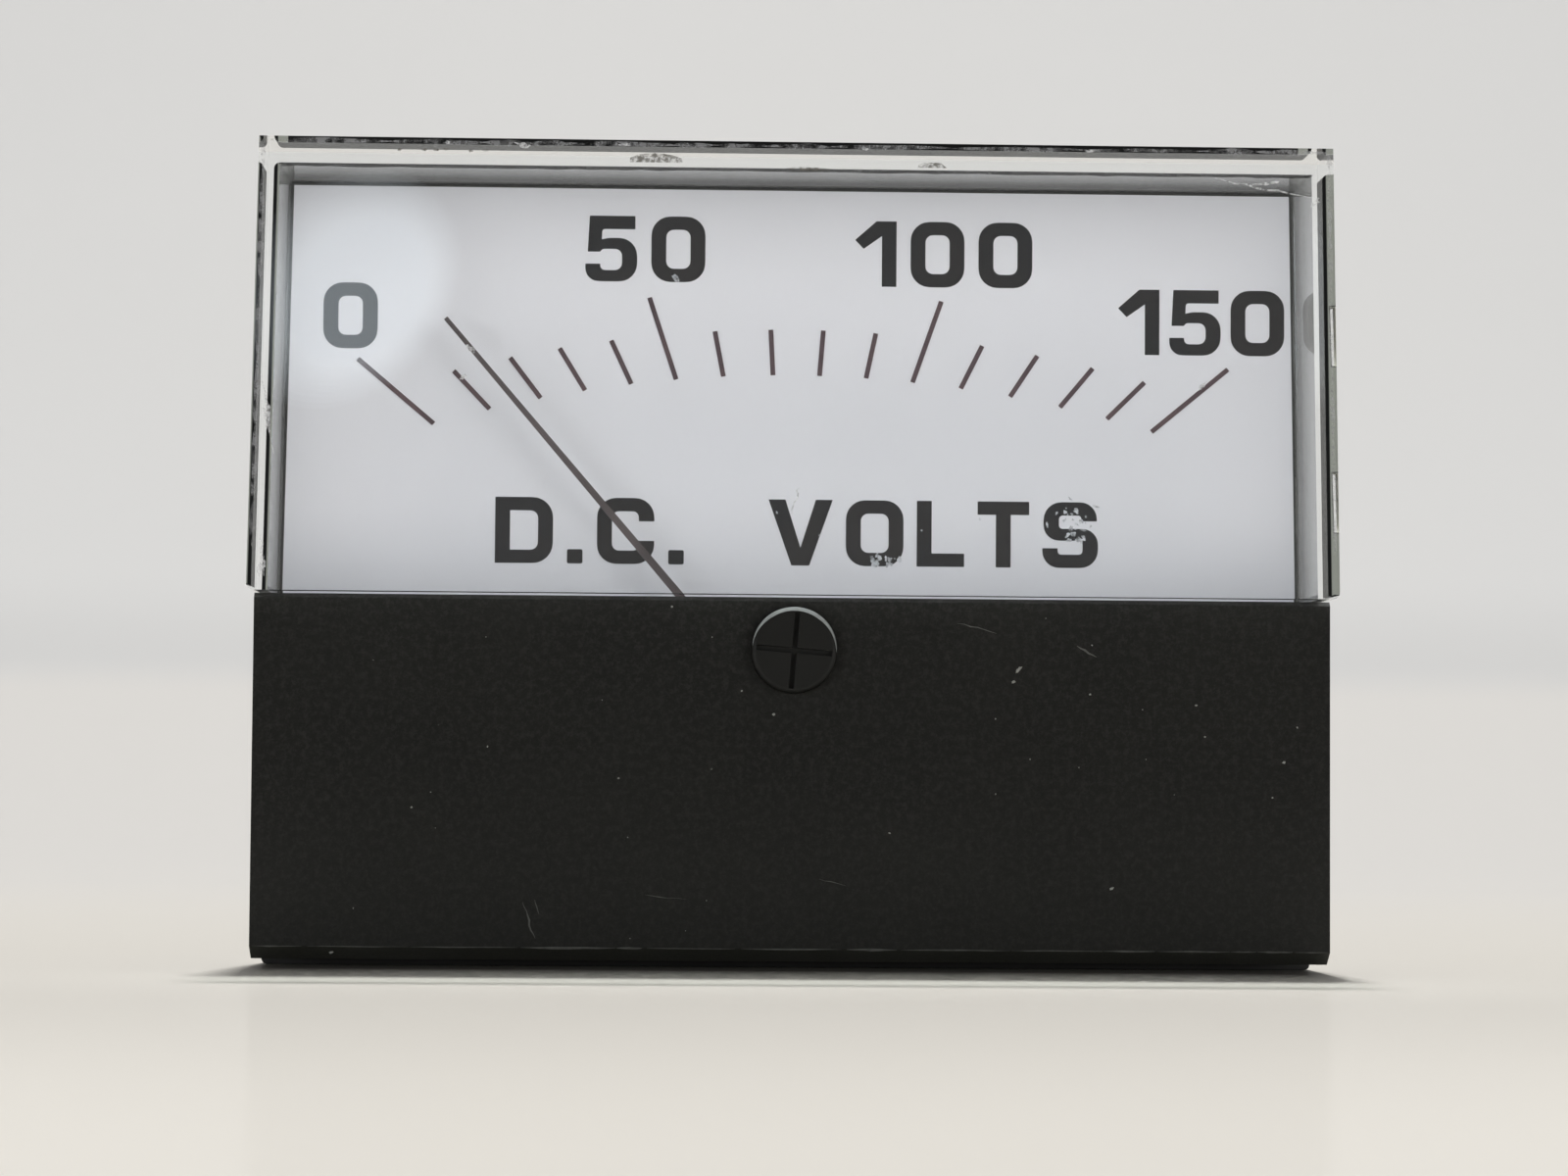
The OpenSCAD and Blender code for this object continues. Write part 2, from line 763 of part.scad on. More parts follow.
module yoke_ring() {
    color([0.5, 0.5, 0.51])
    at_pivot()
        difference() {
            rod(yoke_y, yoke_end_y, yoke_r);
            rod(yoke_y - over, yoke_end_y + over, yoke_bore_r);
            for (sx = sides) {
                rod(yoke_y - over, yoke_y + bridge_bite + 0.2, bridge_screw_r + fit, sx * leg_x);
                rod(yoke_end_y - bridge_bite - 0.2, yoke_end_y + over, bridge_screw_r + fit, sx * leg_x);
            }
        }
}

module core_magnet() {
    color([0.36, 0.36, 0.38])
    at_pivot()
        rod(yoke_y, yoke_end_y, core_r);
}

module core_webs() {
    color([0.74, 0.6, 0.32])
    at_pivot()
        slab(yoke_y, yoke_end_y)
            intersection() {
                difference() {
                    circle(yoke_bore_r);
                    circle(core_r);
                }
                square([web_w, 3 * yoke_r], center = true);
            }
}

// a bar across the axis on two legs, with a hole for the jewel screw
module bridge(bar_y0, bar_y1, leg_y0, leg_y1) {
    reach_x = leg_x + leg_w / 2;
    difference() {
        union() {
            slab(bar_y0, bar_y1)
                intersection() {
                    square([2 * reach_x, bridge_h], center = true);
                    union() {
                        square([2 * reach_x, leg_h], center = true);
                        circle(bridge_h * 0.75);
                    }
                }
            for (sx = sides)
                translate([sx * leg_x - leg_w / 2, leg_y0, -leg_h / 2])
                    cube([leg_w, leg_y1 - leg_y0, leg_h]);
        }
        rod(bar_y0 - over, bar_y1 + over, jewel_r);
        for (sx = sides)
            rod(bar_y0 - core_len, bar_y1 + core_len, bridge_screw_r + 0.08, sx * leg_x);
    }
}

module front_bridge() {
    color([0.72, 0.72, 0.7])
    at_pivot()
        bridge(bridge_y, bridge_back_y, bridge_y, yoke_y);
}

module rear_bridge() {
    color([0.72, 0.72, 0.7])
    at_pivot()
        bridge(rear_bridge_y, rear_bridge_end, yoke_end_y, rear_bridge_end);
}

module bridge_screws() {
    color([0.64, 0.64, 0.62])
    at_pivot()
        for (sx = sides) {
            rod(bridge_y - bridge_head_t, bridge_y, bridge_head_r, sx * leg_x);
            rod(bridge_y - 0.1, yoke_y + bridge_bite, bridge_screw_r, sx * leg_x);
            rod(rear_bridge_end, rear_bridge_end + bridge_head_t, bridge_head_r, sx * leg_x);
            rod(yoke_end_y - bridge_bite, rear_bridge_end + 0.1, bridge_screw_r, sx * leg_x);
        }
}

module front_jewel() {
    color([0.78, 0.66, 0.36])
    at_pivot()
        difference() {
            rod(jewel_y, cup_mouth_y, jewel_r);
            rod(cup_mouth_y - cup_d, cup_mouth_y + over, cup_r);
            translate([0, jewel_y, 0])
                cube([3 * jewel_r, 2 * jewel_slot_d, jewel_slot_w], center = true);
        }
}

module rear_jewel() {
    color([0.78, 0.66, 0.36])
    at_pivot()
        difference() {
            rod(rear_mouth_y, rear_jewel_end, jewel_r);
            rod(rear_mouth_y - over, rear_mouth_y + cup_d, cup_r);
            translate([0, rear_jewel_end, 0])
                cube([3 * jewel_r, 2 * jewel_slot_d, jewel_slot_w], center = true);
        }
}

module jewel_nuts() {
    color([0.78, 0.66, 0.36])
    at_pivot()
        for (y = [lever_y - jewel_nut_t - 0.05, anchor_end])
            slab(y, y + jewel_nut_t)
                difference() {
                    circle(jewel_nut_r, $fn = 6);
                    circle(jewel_r);
                }
}

module rear_anchor() {
    color([0.76, 0.62, 0.3])
    at_pivot() {
        slab(rear_bridge_end, anchor_end)
            difference() {
                union() {
                    circle(lever_ring_r);
                    translate([-anchor_tab_w / 2, -tab_face - anchor_tab_t])
                        square([anchor_tab_w, tab_face + anchor_tab_t + anchor_rise]);
                }
                circle(jewel_r);
            }
        slab(rear_spring_y, anchor_end)
            translate([-anchor_tab_w / 2, -tab_face - anchor_tab_t])
                square([anchor_tab_w, anchor_tab_t]);
    }
}

// a loop round the core, in the plane of the axis
module loop(width, x_in, y_in0, y_in1, t) {
    translate([0, 0, -width / 2])
        linear_extrude(width)
            difference() {
                translate([-x_in - t, y_in0 - t])
                    square([2 * (x_in + t), y_in1 - y_in0 + 2 * t]);
                translate([-x_in, y_in0])
                    square([2 * x_in, y_in1 - y_in0]);
            }
}

module coil_former() {
    rim_t = former_t + winding_t * 0.7;
    color([0.8, 0.81, 0.82])
    swung() {
        loop(coil_w + 0.1, former_in, yoke_y - core_gap, yoke_end_y + core_gap, former_t);
        for (s = sides)
            translate([0, 0, s * (coil_w + rim_w) / 2])
                loop(rim_w, former_in, yoke_y - core_gap, yoke_end_y + core_gap, rim_t);
    }
}

module coil_winding() {
    color([0.62, 0.33, 0.16])
    swung()
        loop(coil_w, former_out, yoke_y - core_gap - former_t, yoke_end_y + core_gap + former_t, winding_t);
}

module front_pivot() {
    color([0.6, 0.6, 0.62])
    at_pivot() {
        rod(coil_y - base_disc_t, coil_y, base_disc_r);
        rod(cup_mouth_y + 0.1, coil_y - 0.1, shaft_r);
        translate([0, cup_mouth_y + 0.1, 0])
            rotate([90, 0, 0])
                cylinder(h = cup_mouth_y + 0.1 - tip_y, r1 = shaft_r, r2 = 0.08);
    }
}

module rear_pivot() {
    color([0.6, 0.6, 0.62])
    at_pivot() {
        rod(coil_end_y, coil_end_y + base_disc_t, base_disc_r);
        rod(coil_end_y + 0.1, rear_mouth_y - 0.1, shaft_r);
        translate([0, rear_tip_y, 0])
            rotate([90, 0, 0])
                cylinder(h = rear_tip_y - rear_mouth_y + 0.1, r1 = 0.08, r2 = shaft_r);
    }
}

module pointer() {
    color([0.25, 0.22, 0.19])
    swung()
        slab(pointer_y, pointer_y + pointer_t)
            difference() {
                union() {
                    circle(hub_r);
                    polygon([[-pointer_root_w / 2, 0],
                             [pointer_root_w / 2, 0],
                             [pointer_tip_w / 2, pointer_len],
                             [-pointer_tip_w / 2, pointer_len]]);
                    translate([-arm_w / 2, -tail_len])
                        square([arm_w, tail_len]);
                    translate([-side_len, -arm_w / 2])
                        square([2 * side_len, arm_w]);
                }
                circle(shaft_r);
            }
}

module balance_weights() {
    mid_y = pointer_y + pointer_t / 2;
    color([0.72, 0.6, 0.34])
    swung()
        difference() {
            union() {
                translate([0, mid_y, -tail_to])
                    cylinder(h = tail_to - tail_from, r = tail_weight_r);
                for (s = sides)
                    translate([s * (side_from + side_to) / 2, mid_y, 0])
                        rotate([0, 90, 0])
                            cylinder(h = side_to - side_from, r = side_weight_r, center = true);
            }
            translate([0, mid_y, 0]) {
                cube([arm_w, pointer_t, 3 * tail_len], center = true);
                cube([3 * side_len, pointer_t, arm_w], center = true);
            }
        }
}

// a spiral strip on a collet, its outer end at the tab below the axis
module hairspring(y) {
    steps = 36 * spring_turns;
    outer = spiral(spring_turns, spring_in_r + spring_t / 2, spring_out_r + spring_t / 2 - 0.02, steps);
    inner = spiral(spring_turns, spring_in_r - spring_t / 2, spring_out_r - spring_t / 2 - 0.02, steps);
    at_pivot()
        slab(y, y + spring_h)
            difference() {
                union() {
                    polygon(concat(outer, [for (k = [0 : steps]) inner[steps - k]]));
                    circle(spring_in_r);
                }
                circle(shaft_r);
            }
}

module front_hairspring() {
    color([0.8, 0.6, 0.3])
    hairspring(spring_y);
}

module rear_hairspring() {
    color([0.8, 0.6, 0.3])
    hairspring(rear_spring_y);
}

module terminal_studs() {
    color([0.76, 0.64, 0.36])
    for (sx = sides)
        translate([sx * terminal_x, 0, terminal_z]) {
            rod(end_y - lug_t - head_t, end_y - lug_t, head_r);
            rod(end_y - lug_t - 0.1, free_y, terminal_r);
            rod(free_y - fit, terminal_end_y - tip_chamfer, terminal_end_r);
            translate([0, terminal_end_y, 0])
                rotate([90, 0, 0])
                    cylinder(h = tip_chamfer, r1 = terminal_end_r - tip_chamfer, r2 = terminal_end_r);
        }
}

module terminal_washers() {
    color([0.74, 0.62, 0.36])
    for (sx = sides, k = [0, 1])
        translate([sx * terminal_x, stack_y + k * washer_step, terminal_z])
            difference() {
                rod(0, washer_t, washer_r);
                rod(-over, washer_t + over, terminal_r + fit);
            }
}

module terminal_nuts() {
    color([0.76, 0.64, 0.36])
    for (sx = sides, k = [0, 1])
        translate([sx * terminal_x, stack_y + k * washer_step + washer_t, terminal_z])
            difference() {
                slab(0, nut_t)
                    circle(nut_flats / sqrt(3), $fn = 6);
                rod(-over, nut_t + over, terminal_r + fit);
            }
}

module solder_lugs() {
    color([0.78, 0.74, 0.66])
    for (sx = sides)
        translate([sx * terminal_x, 0, 0])
            slab(end_y - lug_t, end_y)
                difference() {
                    union() {
                        translate([0, terminal_z])
                            circle(head_r - 0.4);
                        translate([-1.4, terminal_z])
                            square([2.8, lug_tip_z - terminal_z]);
                        translate([0, lug_tip_z])
                            circle(1.4);
                    }
                    translate([0, terminal_z])
                        circle(terminal_r + fit);
                }
}

module resistor() {
    color([0.66, 0.5, 0.36])
    translate([0, resistor_y, lug_tip_z]) {
        rotate([0, 90, 0])
            cylinder(h = resistor_len, r = resistor_r, center = true);
        translate([-resistor_tail_x, 0, 0])
            rotate([0, 90, 0])
                cylinder(h = resistor_tail_x + terminal_x, r = resistor_lead_r);
        translate([terminal_x, 0, 0])
            sphere(resistor_lead_r);
        rod(0, end_y - lug_t - resistor_y, resistor_lead_r, terminal_x);
    }
}

// from the free end of the resistor to the back of the support plate
module frame_lead() {
    foot = [-lead_foot_x, plate_end_y, pivot_z + yoke_r];
    color([0.5, 0.1, 0.08])
    lead([[-resistor_tail_x, resistor_y, lug_tip_z],
          [-resistor_tail_x - lead_bend, resistor_y, lug_tip_z],
          [-resistor_tail_x - lead_swing, (resistor_y + plate_end_y) / 2, lug_tip_z / 4],
          [foot[0], plate_end_y + lead_sag, foot[2]],
          foot], wire_r);
}

// from the other lug to the rear anchor's tag
module anchor_lead() {
    tag_z = pivot_z + tag_rise;
    color([0.08, 0.08, 0.09])
    lead([[-terminal_x, end_y - lug_t, lug_tip_z],
          [-terminal_x, end_y - lug_t - lead_bend, lug_tip_z],
          [-terminal_x * 0.72, anchor_end + tag_stand, lug_tip_z / 10],
          [-tag_rise * 0.72, anchor_end + tag_stand, tag_z + tag_rise * 0.72],
          [0, anchor_end + tag_stand, tag_z],
          [0, anchor_end, tag_z]], wire_r);
}

base();
window();
mask();
mask_screws();
mounting_studs();
dial_plate();
dial_screws();
scale_marks();
pointer_stops();
zero_screw();
zero_clip();
zero_lever();
support_plate();
support_screws();
yoke_ring();
core_magnet();
core_webs();
front_bridge();
rear_bridge();
bridge_screws();
front_jewel();
rear_jewel();
jewel_nuts();
rear_anchor();
coil_former();
coil_winding();
front_pivot();
rear_pivot();
pointer();
balance_weights();
front_hairspring();
rear_hairspring();
terminal_studs();
terminal_washers();
terminal_nuts();
solder_lugs();
resistor();
frame_lead();
anchor_lead();
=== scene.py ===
"""Looks of a moving-coil panel meter round its CAD frame.

In order: finishes, dial print, wear, threads, stage and light, camera.
"""

import json
import math
import random

import bmesh
import bpy
from mathutils import Matrix, Quaternion, Vector


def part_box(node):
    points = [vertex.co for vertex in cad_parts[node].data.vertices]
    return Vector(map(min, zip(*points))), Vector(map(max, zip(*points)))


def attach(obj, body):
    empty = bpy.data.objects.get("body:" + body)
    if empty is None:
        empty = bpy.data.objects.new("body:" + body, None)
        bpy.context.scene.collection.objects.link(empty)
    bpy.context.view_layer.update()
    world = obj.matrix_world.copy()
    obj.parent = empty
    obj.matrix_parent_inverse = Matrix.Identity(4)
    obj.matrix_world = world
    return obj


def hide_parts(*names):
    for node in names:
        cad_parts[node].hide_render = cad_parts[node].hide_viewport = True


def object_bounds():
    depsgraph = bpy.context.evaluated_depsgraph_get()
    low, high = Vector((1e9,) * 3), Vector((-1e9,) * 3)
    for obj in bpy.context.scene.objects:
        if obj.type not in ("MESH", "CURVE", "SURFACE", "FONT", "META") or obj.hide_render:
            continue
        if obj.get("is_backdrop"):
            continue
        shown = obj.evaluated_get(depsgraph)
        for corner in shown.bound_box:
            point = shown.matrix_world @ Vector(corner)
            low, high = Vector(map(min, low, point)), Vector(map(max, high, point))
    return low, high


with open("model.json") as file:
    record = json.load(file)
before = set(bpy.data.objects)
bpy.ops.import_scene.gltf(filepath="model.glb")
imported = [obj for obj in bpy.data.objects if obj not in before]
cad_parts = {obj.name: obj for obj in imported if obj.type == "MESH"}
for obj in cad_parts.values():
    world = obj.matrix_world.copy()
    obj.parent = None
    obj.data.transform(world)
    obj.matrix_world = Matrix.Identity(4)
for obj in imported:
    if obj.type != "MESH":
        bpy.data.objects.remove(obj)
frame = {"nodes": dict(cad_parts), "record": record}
cad_low, cad_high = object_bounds()

MM = 0.001
rng = random.Random(7)
scene = bpy.context.scene

DIAL_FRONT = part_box("dial_plate")[0].y
WINDOW_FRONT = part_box("window")[0].y
MASK_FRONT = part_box("mask")[0].y
FLOOR_Z = cad_low.z

# The window's side walls lean inwards from its foot upwards, and sit on the flange's front
WINDOW_FOOT = -3.5 * MM
SEAT_Y = -3.0 * MM
WALL_THICK = 1.6 * MM
WALL_LEAN = 0.56 / 37.0
WALL_OUT = cad_high.x + WINDOW_FOOT * WALL_LEAN
CEMENT_TONE = (0.95, 0.95, 0.9)
CLEAR_TONE = (0.95, 0.96, 0.955)


# Shader helpers

def new_tree(name):
    """A new node material and its empty tree."""
    made = bpy.data.materials.new(name)
    made.use_nodes = True
    made.node_tree.nodes.clear()
    return made, made.node_tree


def node(tree, kind, values=None, **settings):
    """Adds a node; values are socket constants or links from other sockets."""
    made = tree.nodes.new(kind)
    for key, value in settings.items():
        setattr(made, key, value)
    for key, value in (values or {}).items():
        if isinstance(value, bpy.types.NodeSocket):
            tree.links.new(value, made.inputs[key])
        else:
            made.inputs[key].default_value = value
    return made


def noise(tree, place, scale, detail=3.0, rough=0.55):
    """Fractal noise over the object's own place."""
    made = node(tree, "ShaderNodeTexNoise",
                {"Vector": place, "Scale": scale, "Detail": detail, "Roughness": rough})
    return made.outputs["Fac"]


def spread(tree, value, low, high, to_low, to_high):
    """Maps low..high smoothly onto to_low..to_high."""
    made = node(tree, "ShaderNodeMapRange",
                {"Value": value, "From Min": low, "From Max": high, "To Min": to_low, "To Max": to_high},
                interpolation_type="SMOOTHSTEP")
    return made.outputs["Result"]


def mix(tree, factor, first, second):
    """Colour mix."""
    made = node(tree, "ShaderNodeMix", {"Factor": factor}, data_type="RGBA")
    for index, value in ((6, first), (7, second)):
        if isinstance(value, bpy.types.NodeSocket):
            tree.links.new(value, made.inputs[index])
        else:
            made.inputs[index].default_value = value
    return made.outputs[2]


def rgba(colour):
    return (colour[0], colour[1], colour[2], 1.0)


def dimmed(colour, share):
    return rgba([share * part for part in colour])


def calc(tree, operation, *values):
    """One step of arithmetic on sockets and numbers."""
    return node(tree, "ShaderNodeMath", dict(enumerate(values)), operation=operation).outputs[0]


def own_place(tree):
    """The object's own coordinates, which are the part's in metres."""
    return node(tree, "ShaderNodeTexCoord").outputs["Object"]


def split(tree, coords):
    """Sockets X, Y and Z of coords."""
    return node(tree, "ShaderNodeSeparateXYZ", {"Vector": coords}).outputs


def passing_lamps(tree, shader):
    """The shader, clear to shadow rays, so that lamps reach what lies behind it."""
    clear = node(tree, "ShaderNodeBsdfTransparent", {"Color": rgba(CLEAR_TONE)}).outputs["BSDF"]
    shadow = node(tree, "ShaderNodeLightPath").outputs["Is Shadow Ray"]
    return node(tree, "ShaderNodeMixShader", {0: shadow, 1: shader, 2: clear}).outputs["Shader"]


def surfaced(made, tree, shader):
    """The material, with the shader on its surface."""
    tree.links.new(shader, node(tree, "ShaderNodeOutputMaterial").inputs["Surface"])
    return made


def seat_line(tree, coords):
    """Where dried cement shows on the flange's front under the inner half of the window's side walls."""
    axes = split(tree, coords)
    lean = calc(tree, "MULTIPLY_ADD", axes["Z"], WALL_LEAN, calc(tree, "ABSOLUTE", axes["X"]))
    inside, middle = WALL_OUT - WALL_THICK, WALL_OUT - WALL_THICK / 2.0
    inner = spread(tree, lean, inside, inside + 0.05 * MM, 0.0, 1.0)
    outer = spread(tree, lean, middle, middle + 0.1 * MM, 1.0, 0.0)
    front = spread(tree, axes["Y"], SEAT_Y + 0.05 * MM, SEAT_Y + 0.1 * MM, 1.0, 0.0)
    above = spread(tree, axes["Z"], WINDOW_FOOT - 0.1 * MM, WINDOW_FOOT + 0.1 * MM, 0.0, 1.0)
    return calc(tree, "MULTIPLY", calc(tree, "MULTIPLY", inner, outer), calc(tree, "MULTIPLY", front, above))


# Painted light: a paler tone towards the foot, standing in for light from the table
PAINTED_LOW_LIGHT_TONE, PAINTED_LOW_LIGHT_FROM, PAINTED_LOW_LIGHT_TO = (0.05, 0.05, 0.045), -0.033, -0.014
MOTTLE_SCALE, MOTTLE_DETAIL, MOTTLE_ROUGH = 1700.0, 5.0, 0.8
GLOSS_PLAY = 0.06


def finish(name, colour, shade, rough, metallic=0.0, specular=0.5, blotch=120.0, grain=3000.0,
           bump=0.2, depth=0.00002, dust=None, stretch=None, edge=0.0, painted_low_light=0.0, seat=False, mottle=None):
    """Opaque finish: colour with blotches of shade, and grain in bump and roughness.

    If asked, also dust specks, a mottle of paler flecks, painted light that pales it low down, cement on the
    window's seat, and edges broken by so many mm.
    """
    made, tree = new_tree(name)
    coords = own_place(tree)
    place = coords
    if stretch:
        place = node(tree, "ShaderNodeMapping", {"Vector": coords, "Scale": stretch}).outputs["Vector"]
    patches = spread(tree, noise(tree, coords, blotch), 0.35, 0.68, 0.0, 1.0)
    fine = noise(tree, place, grain, 4.0, 0.6)
    tone = mix(tree, patches, rgba(colour), rgba(shade))
    gloss = spread(tree, fine, 0.3, 0.7, rough - GLOSS_PLAY, rough + GLOSS_PLAY)
    if dust:
        cells = node(tree, "ShaderNodeTexVoronoi",
                     {"Vector": coords, "Scale": dust["scale"], "Randomness": 1.0})
        near = spread(tree, cells.outputs["Distance"], dust["size"] * 0.5, dust["size"], 1.0, 0.0)
        chosen = node(tree, "ShaderNodeSeparateColor", {"Color": cells.outputs["Color"]}).outputs["Red"]
        speck = calc(tree, "MULTIPLY", near, calc(tree, "LESS_THAN", chosen, dust["share"]))
        tone = mix(tree, speck, tone, rgba(dust["colour"]))
    if mottle:
        flecks = noise(tree, coords, MOTTLE_SCALE, MOTTLE_DETAIL, MOTTLE_ROUGH)
        flecks = spread(tree, flecks, 0.44, 0.64, 0.0, 1.0)
        tone = mix(tree, flecks, tone, rgba(mottle))
    # Painted light, paler low down
    if painted_low_light:
        low = spread(tree, split(tree, coords)["Z"], PAINTED_LOW_LIGHT_FROM, PAINTED_LOW_LIGHT_TO, painted_low_light, 0.0)
        tone = mix(tree, low, tone, rgba(PAINTED_LOW_LIGHT_TONE))
    if seat:
        tone = mix(tree, seat_line(tree, coords), tone, rgba(CEMENT_TONE))
    relief = node(tree, "ShaderNodeBump", {"Strength": bump, "Distance": depth, "Height": fine})
    if edge:
        broken = node(tree, "ShaderNodeBevel", {"Radius": edge * MM}, samples=6)
        tree.links.new(broken.outputs["Normal"], relief.inputs["Normal"])
    shader = node(tree, "ShaderNodeBsdfPrincipled", {
        "Base Color": tone, "Roughness": gloss, "Metallic": metallic, "Specular IOR Level": specular,
        "Normal": relief.outputs["Normal"]})
    return surfaced(made, tree, shader.outputs["BSDF"])


ACRYLIC_IOR = 1.49
# Painted shade on the window's walls: where it starts and ends along y, and its share at the front
SHADE_FRONT, SHADE_BACK, SHADE_FRONT_SHARE = -0.0145, -0.003, 0.45


def acrylic(name, film=0.0):
    """Clear moulded acrylic with faint rub marks. A film of painted shade greys a face's outer side, more
    towards the back, in place of the dark inside that the walls reflect.
    """
    made, tree = new_tree(name)
    coords = own_place(tree)
    rub_marks_and_painted_rim_highlight = spread(tree, noise(tree, coords, 180.0, 5.0, 0.7), 0.55, 0.8, 0.0, 0.03)
    tint = mix(tree, noise(tree, coords, 40.0), rgba((0.985, 0.992, 0.985)), rgba((0.97, 0.982, 0.975)))
    relief = node(tree, "ShaderNodeBump",
                  {"Strength": 0.02, "Distance": 0.00001, "Height": noise(tree, coords, 90.0)}).outputs["Normal"]
    body = node(tree, "ShaderNodeBsdfPrincipled", {
        "Base Color": tint, "Roughness": rub_marks_and_painted_rim_highlight, "IOR": ACRYLIC_IOR, "Transmission Weight": 1.0,
        "Normal": relief}).outputs["BSDF"]
    if film:
        cover = spread(tree, split(tree, coords)["Y"], SHADE_FRONT, SHADE_BACK, film * SHADE_FRONT_SHARE, film)
        inside = node(tree, "ShaderNodeNewGeometry").outputs["Backfacing"]
        cover = calc(tree, "MULTIPLY", cover, calc(tree, "SUBTRACT", 1.0, inside))
        # Painted shade: a grey that stands in for the dark inside of the case that the walls reflect
        darkening = mix(tree, noise(tree, coords, 700.0), rgba((0.07, 0.072, 0.078)), rgba((0.045, 0.046, 0.05)))
        matt = node(tree, "ShaderNodeBsdfDiffuse", {"Color": darkening}).outputs["BSDF"]
        body = node(tree, "ShaderNodeMixShader", {0: cover, 1: body, 2: matt}).outputs["Shader"]
    return surfaced(made, tree, passing_lamps(tree, body))


def cement(name):
    """Dried cement round the window's tabs; lamps reach it through the acrylic."""
    made, tree = new_tree(name)
    tone = mix(tree, noise(tree, own_place(tree), 900.0), rgba(CEMENT_TONE), rgba((0.88, 0.88, 0.83)))
    matt = node(tree, "ShaderNodeBsdfDiffuse", {"Color": tone}).outputs["BSDF"]
    return surfaced(made, tree, passing_lamps(tree, matt))


def haze(name, colour, grain, thin, thick):
    """Thin patchy film: scuffs and bruises that cover only part of what is under them."""
    made, tree = new_tree(name)
    coords = own_place(tree)
    cover = spread(tree, noise(tree, coords, grain, 4.0, 0.7), 0.35, 0.62, thin, thick)
    tone = mix(tree, noise(tree, coords, grain * 0.4), rgba(colour), dimmed(colour, 0.94))
    shader = node(tree, "ShaderNodeBsdfPrincipled", {
        "Base Color": tone, "Roughness": 0.75, "Specular IOR Level": 0.2, "Alpha": cover})
    return surfaced(made, tree, shader.outputs["BSDF"])


def dial_paint_with_painted_light(name):
    """White dial paint with painted light and shade: whitest at the top, except at its left, and at the sides;
    dullest along the foot.
    """
    made, tree = new_tree(name)
    coords = own_place(tree)
    axes = split(tree, coords)
    # Painted light: paler towards the sides and the top, where the window's walls shade the dial
    sides = spread(tree, calc(tree, "ABSOLUTE", axes["X"]), 0.026, 0.043, 0.0, 1.0)
    top = spread(tree, axes["Z"], 0.01, 0.027, 0.0, 1.0)
    # Painted shade: the top's painted light fades out at the left, under the glint
    top = calc(tree, "MULTIPLY", top, spread(tree, axes["X"], -0.036, -0.021, 0.1, 1.0))
    # Painted shade: darker along the foot, next to the mask
    foot = spread(tree, axes["Z"], -0.004, 0.005, 1.0, 0.0)
    dull = mix(tree, noise(tree, coords, 45.0), rgba((0.73, 0.73, 0.79)), rgba((0.7, 0.7, 0.757)))
    tone = mix(tree, sides, dull, rgba((0.8, 0.795, 0.855)))
    tone = mix(tree, top, tone, rgba((0.855, 0.85, 0.913)))
    tone = mix(tree, foot, tone, rgba((0.66, 0.665, 0.725)))
    fine = noise(tree, coords, 5200.0, 4.0, 0.6)
    relief = node(tree, "ShaderNodeBump",
                  {"Strength": 0.08, "Distance": 0.00002, "Height": fine}).outputs["Normal"]
    shader = node(tree, "ShaderNodeBsdfPrincipled", {
        "Base Color": tone, "Roughness": spread(tree, fine, 0.3, 0.7, 0.56, 0.68), "Specular IOR Level": 0.2,
        "Normal": relief})
    return surfaced(made, tree, shader.outputs["BSDF"])


DUST = {"scale": 900.0, "size": 0.1, "share": 0.012, "colour": (0.42, 0.43, 0.4)}
BACK_DUST = {"scale": 700.0, "size": 0.1, "share": 0.03, "colour": (0.25, 0.25, 0.23)}

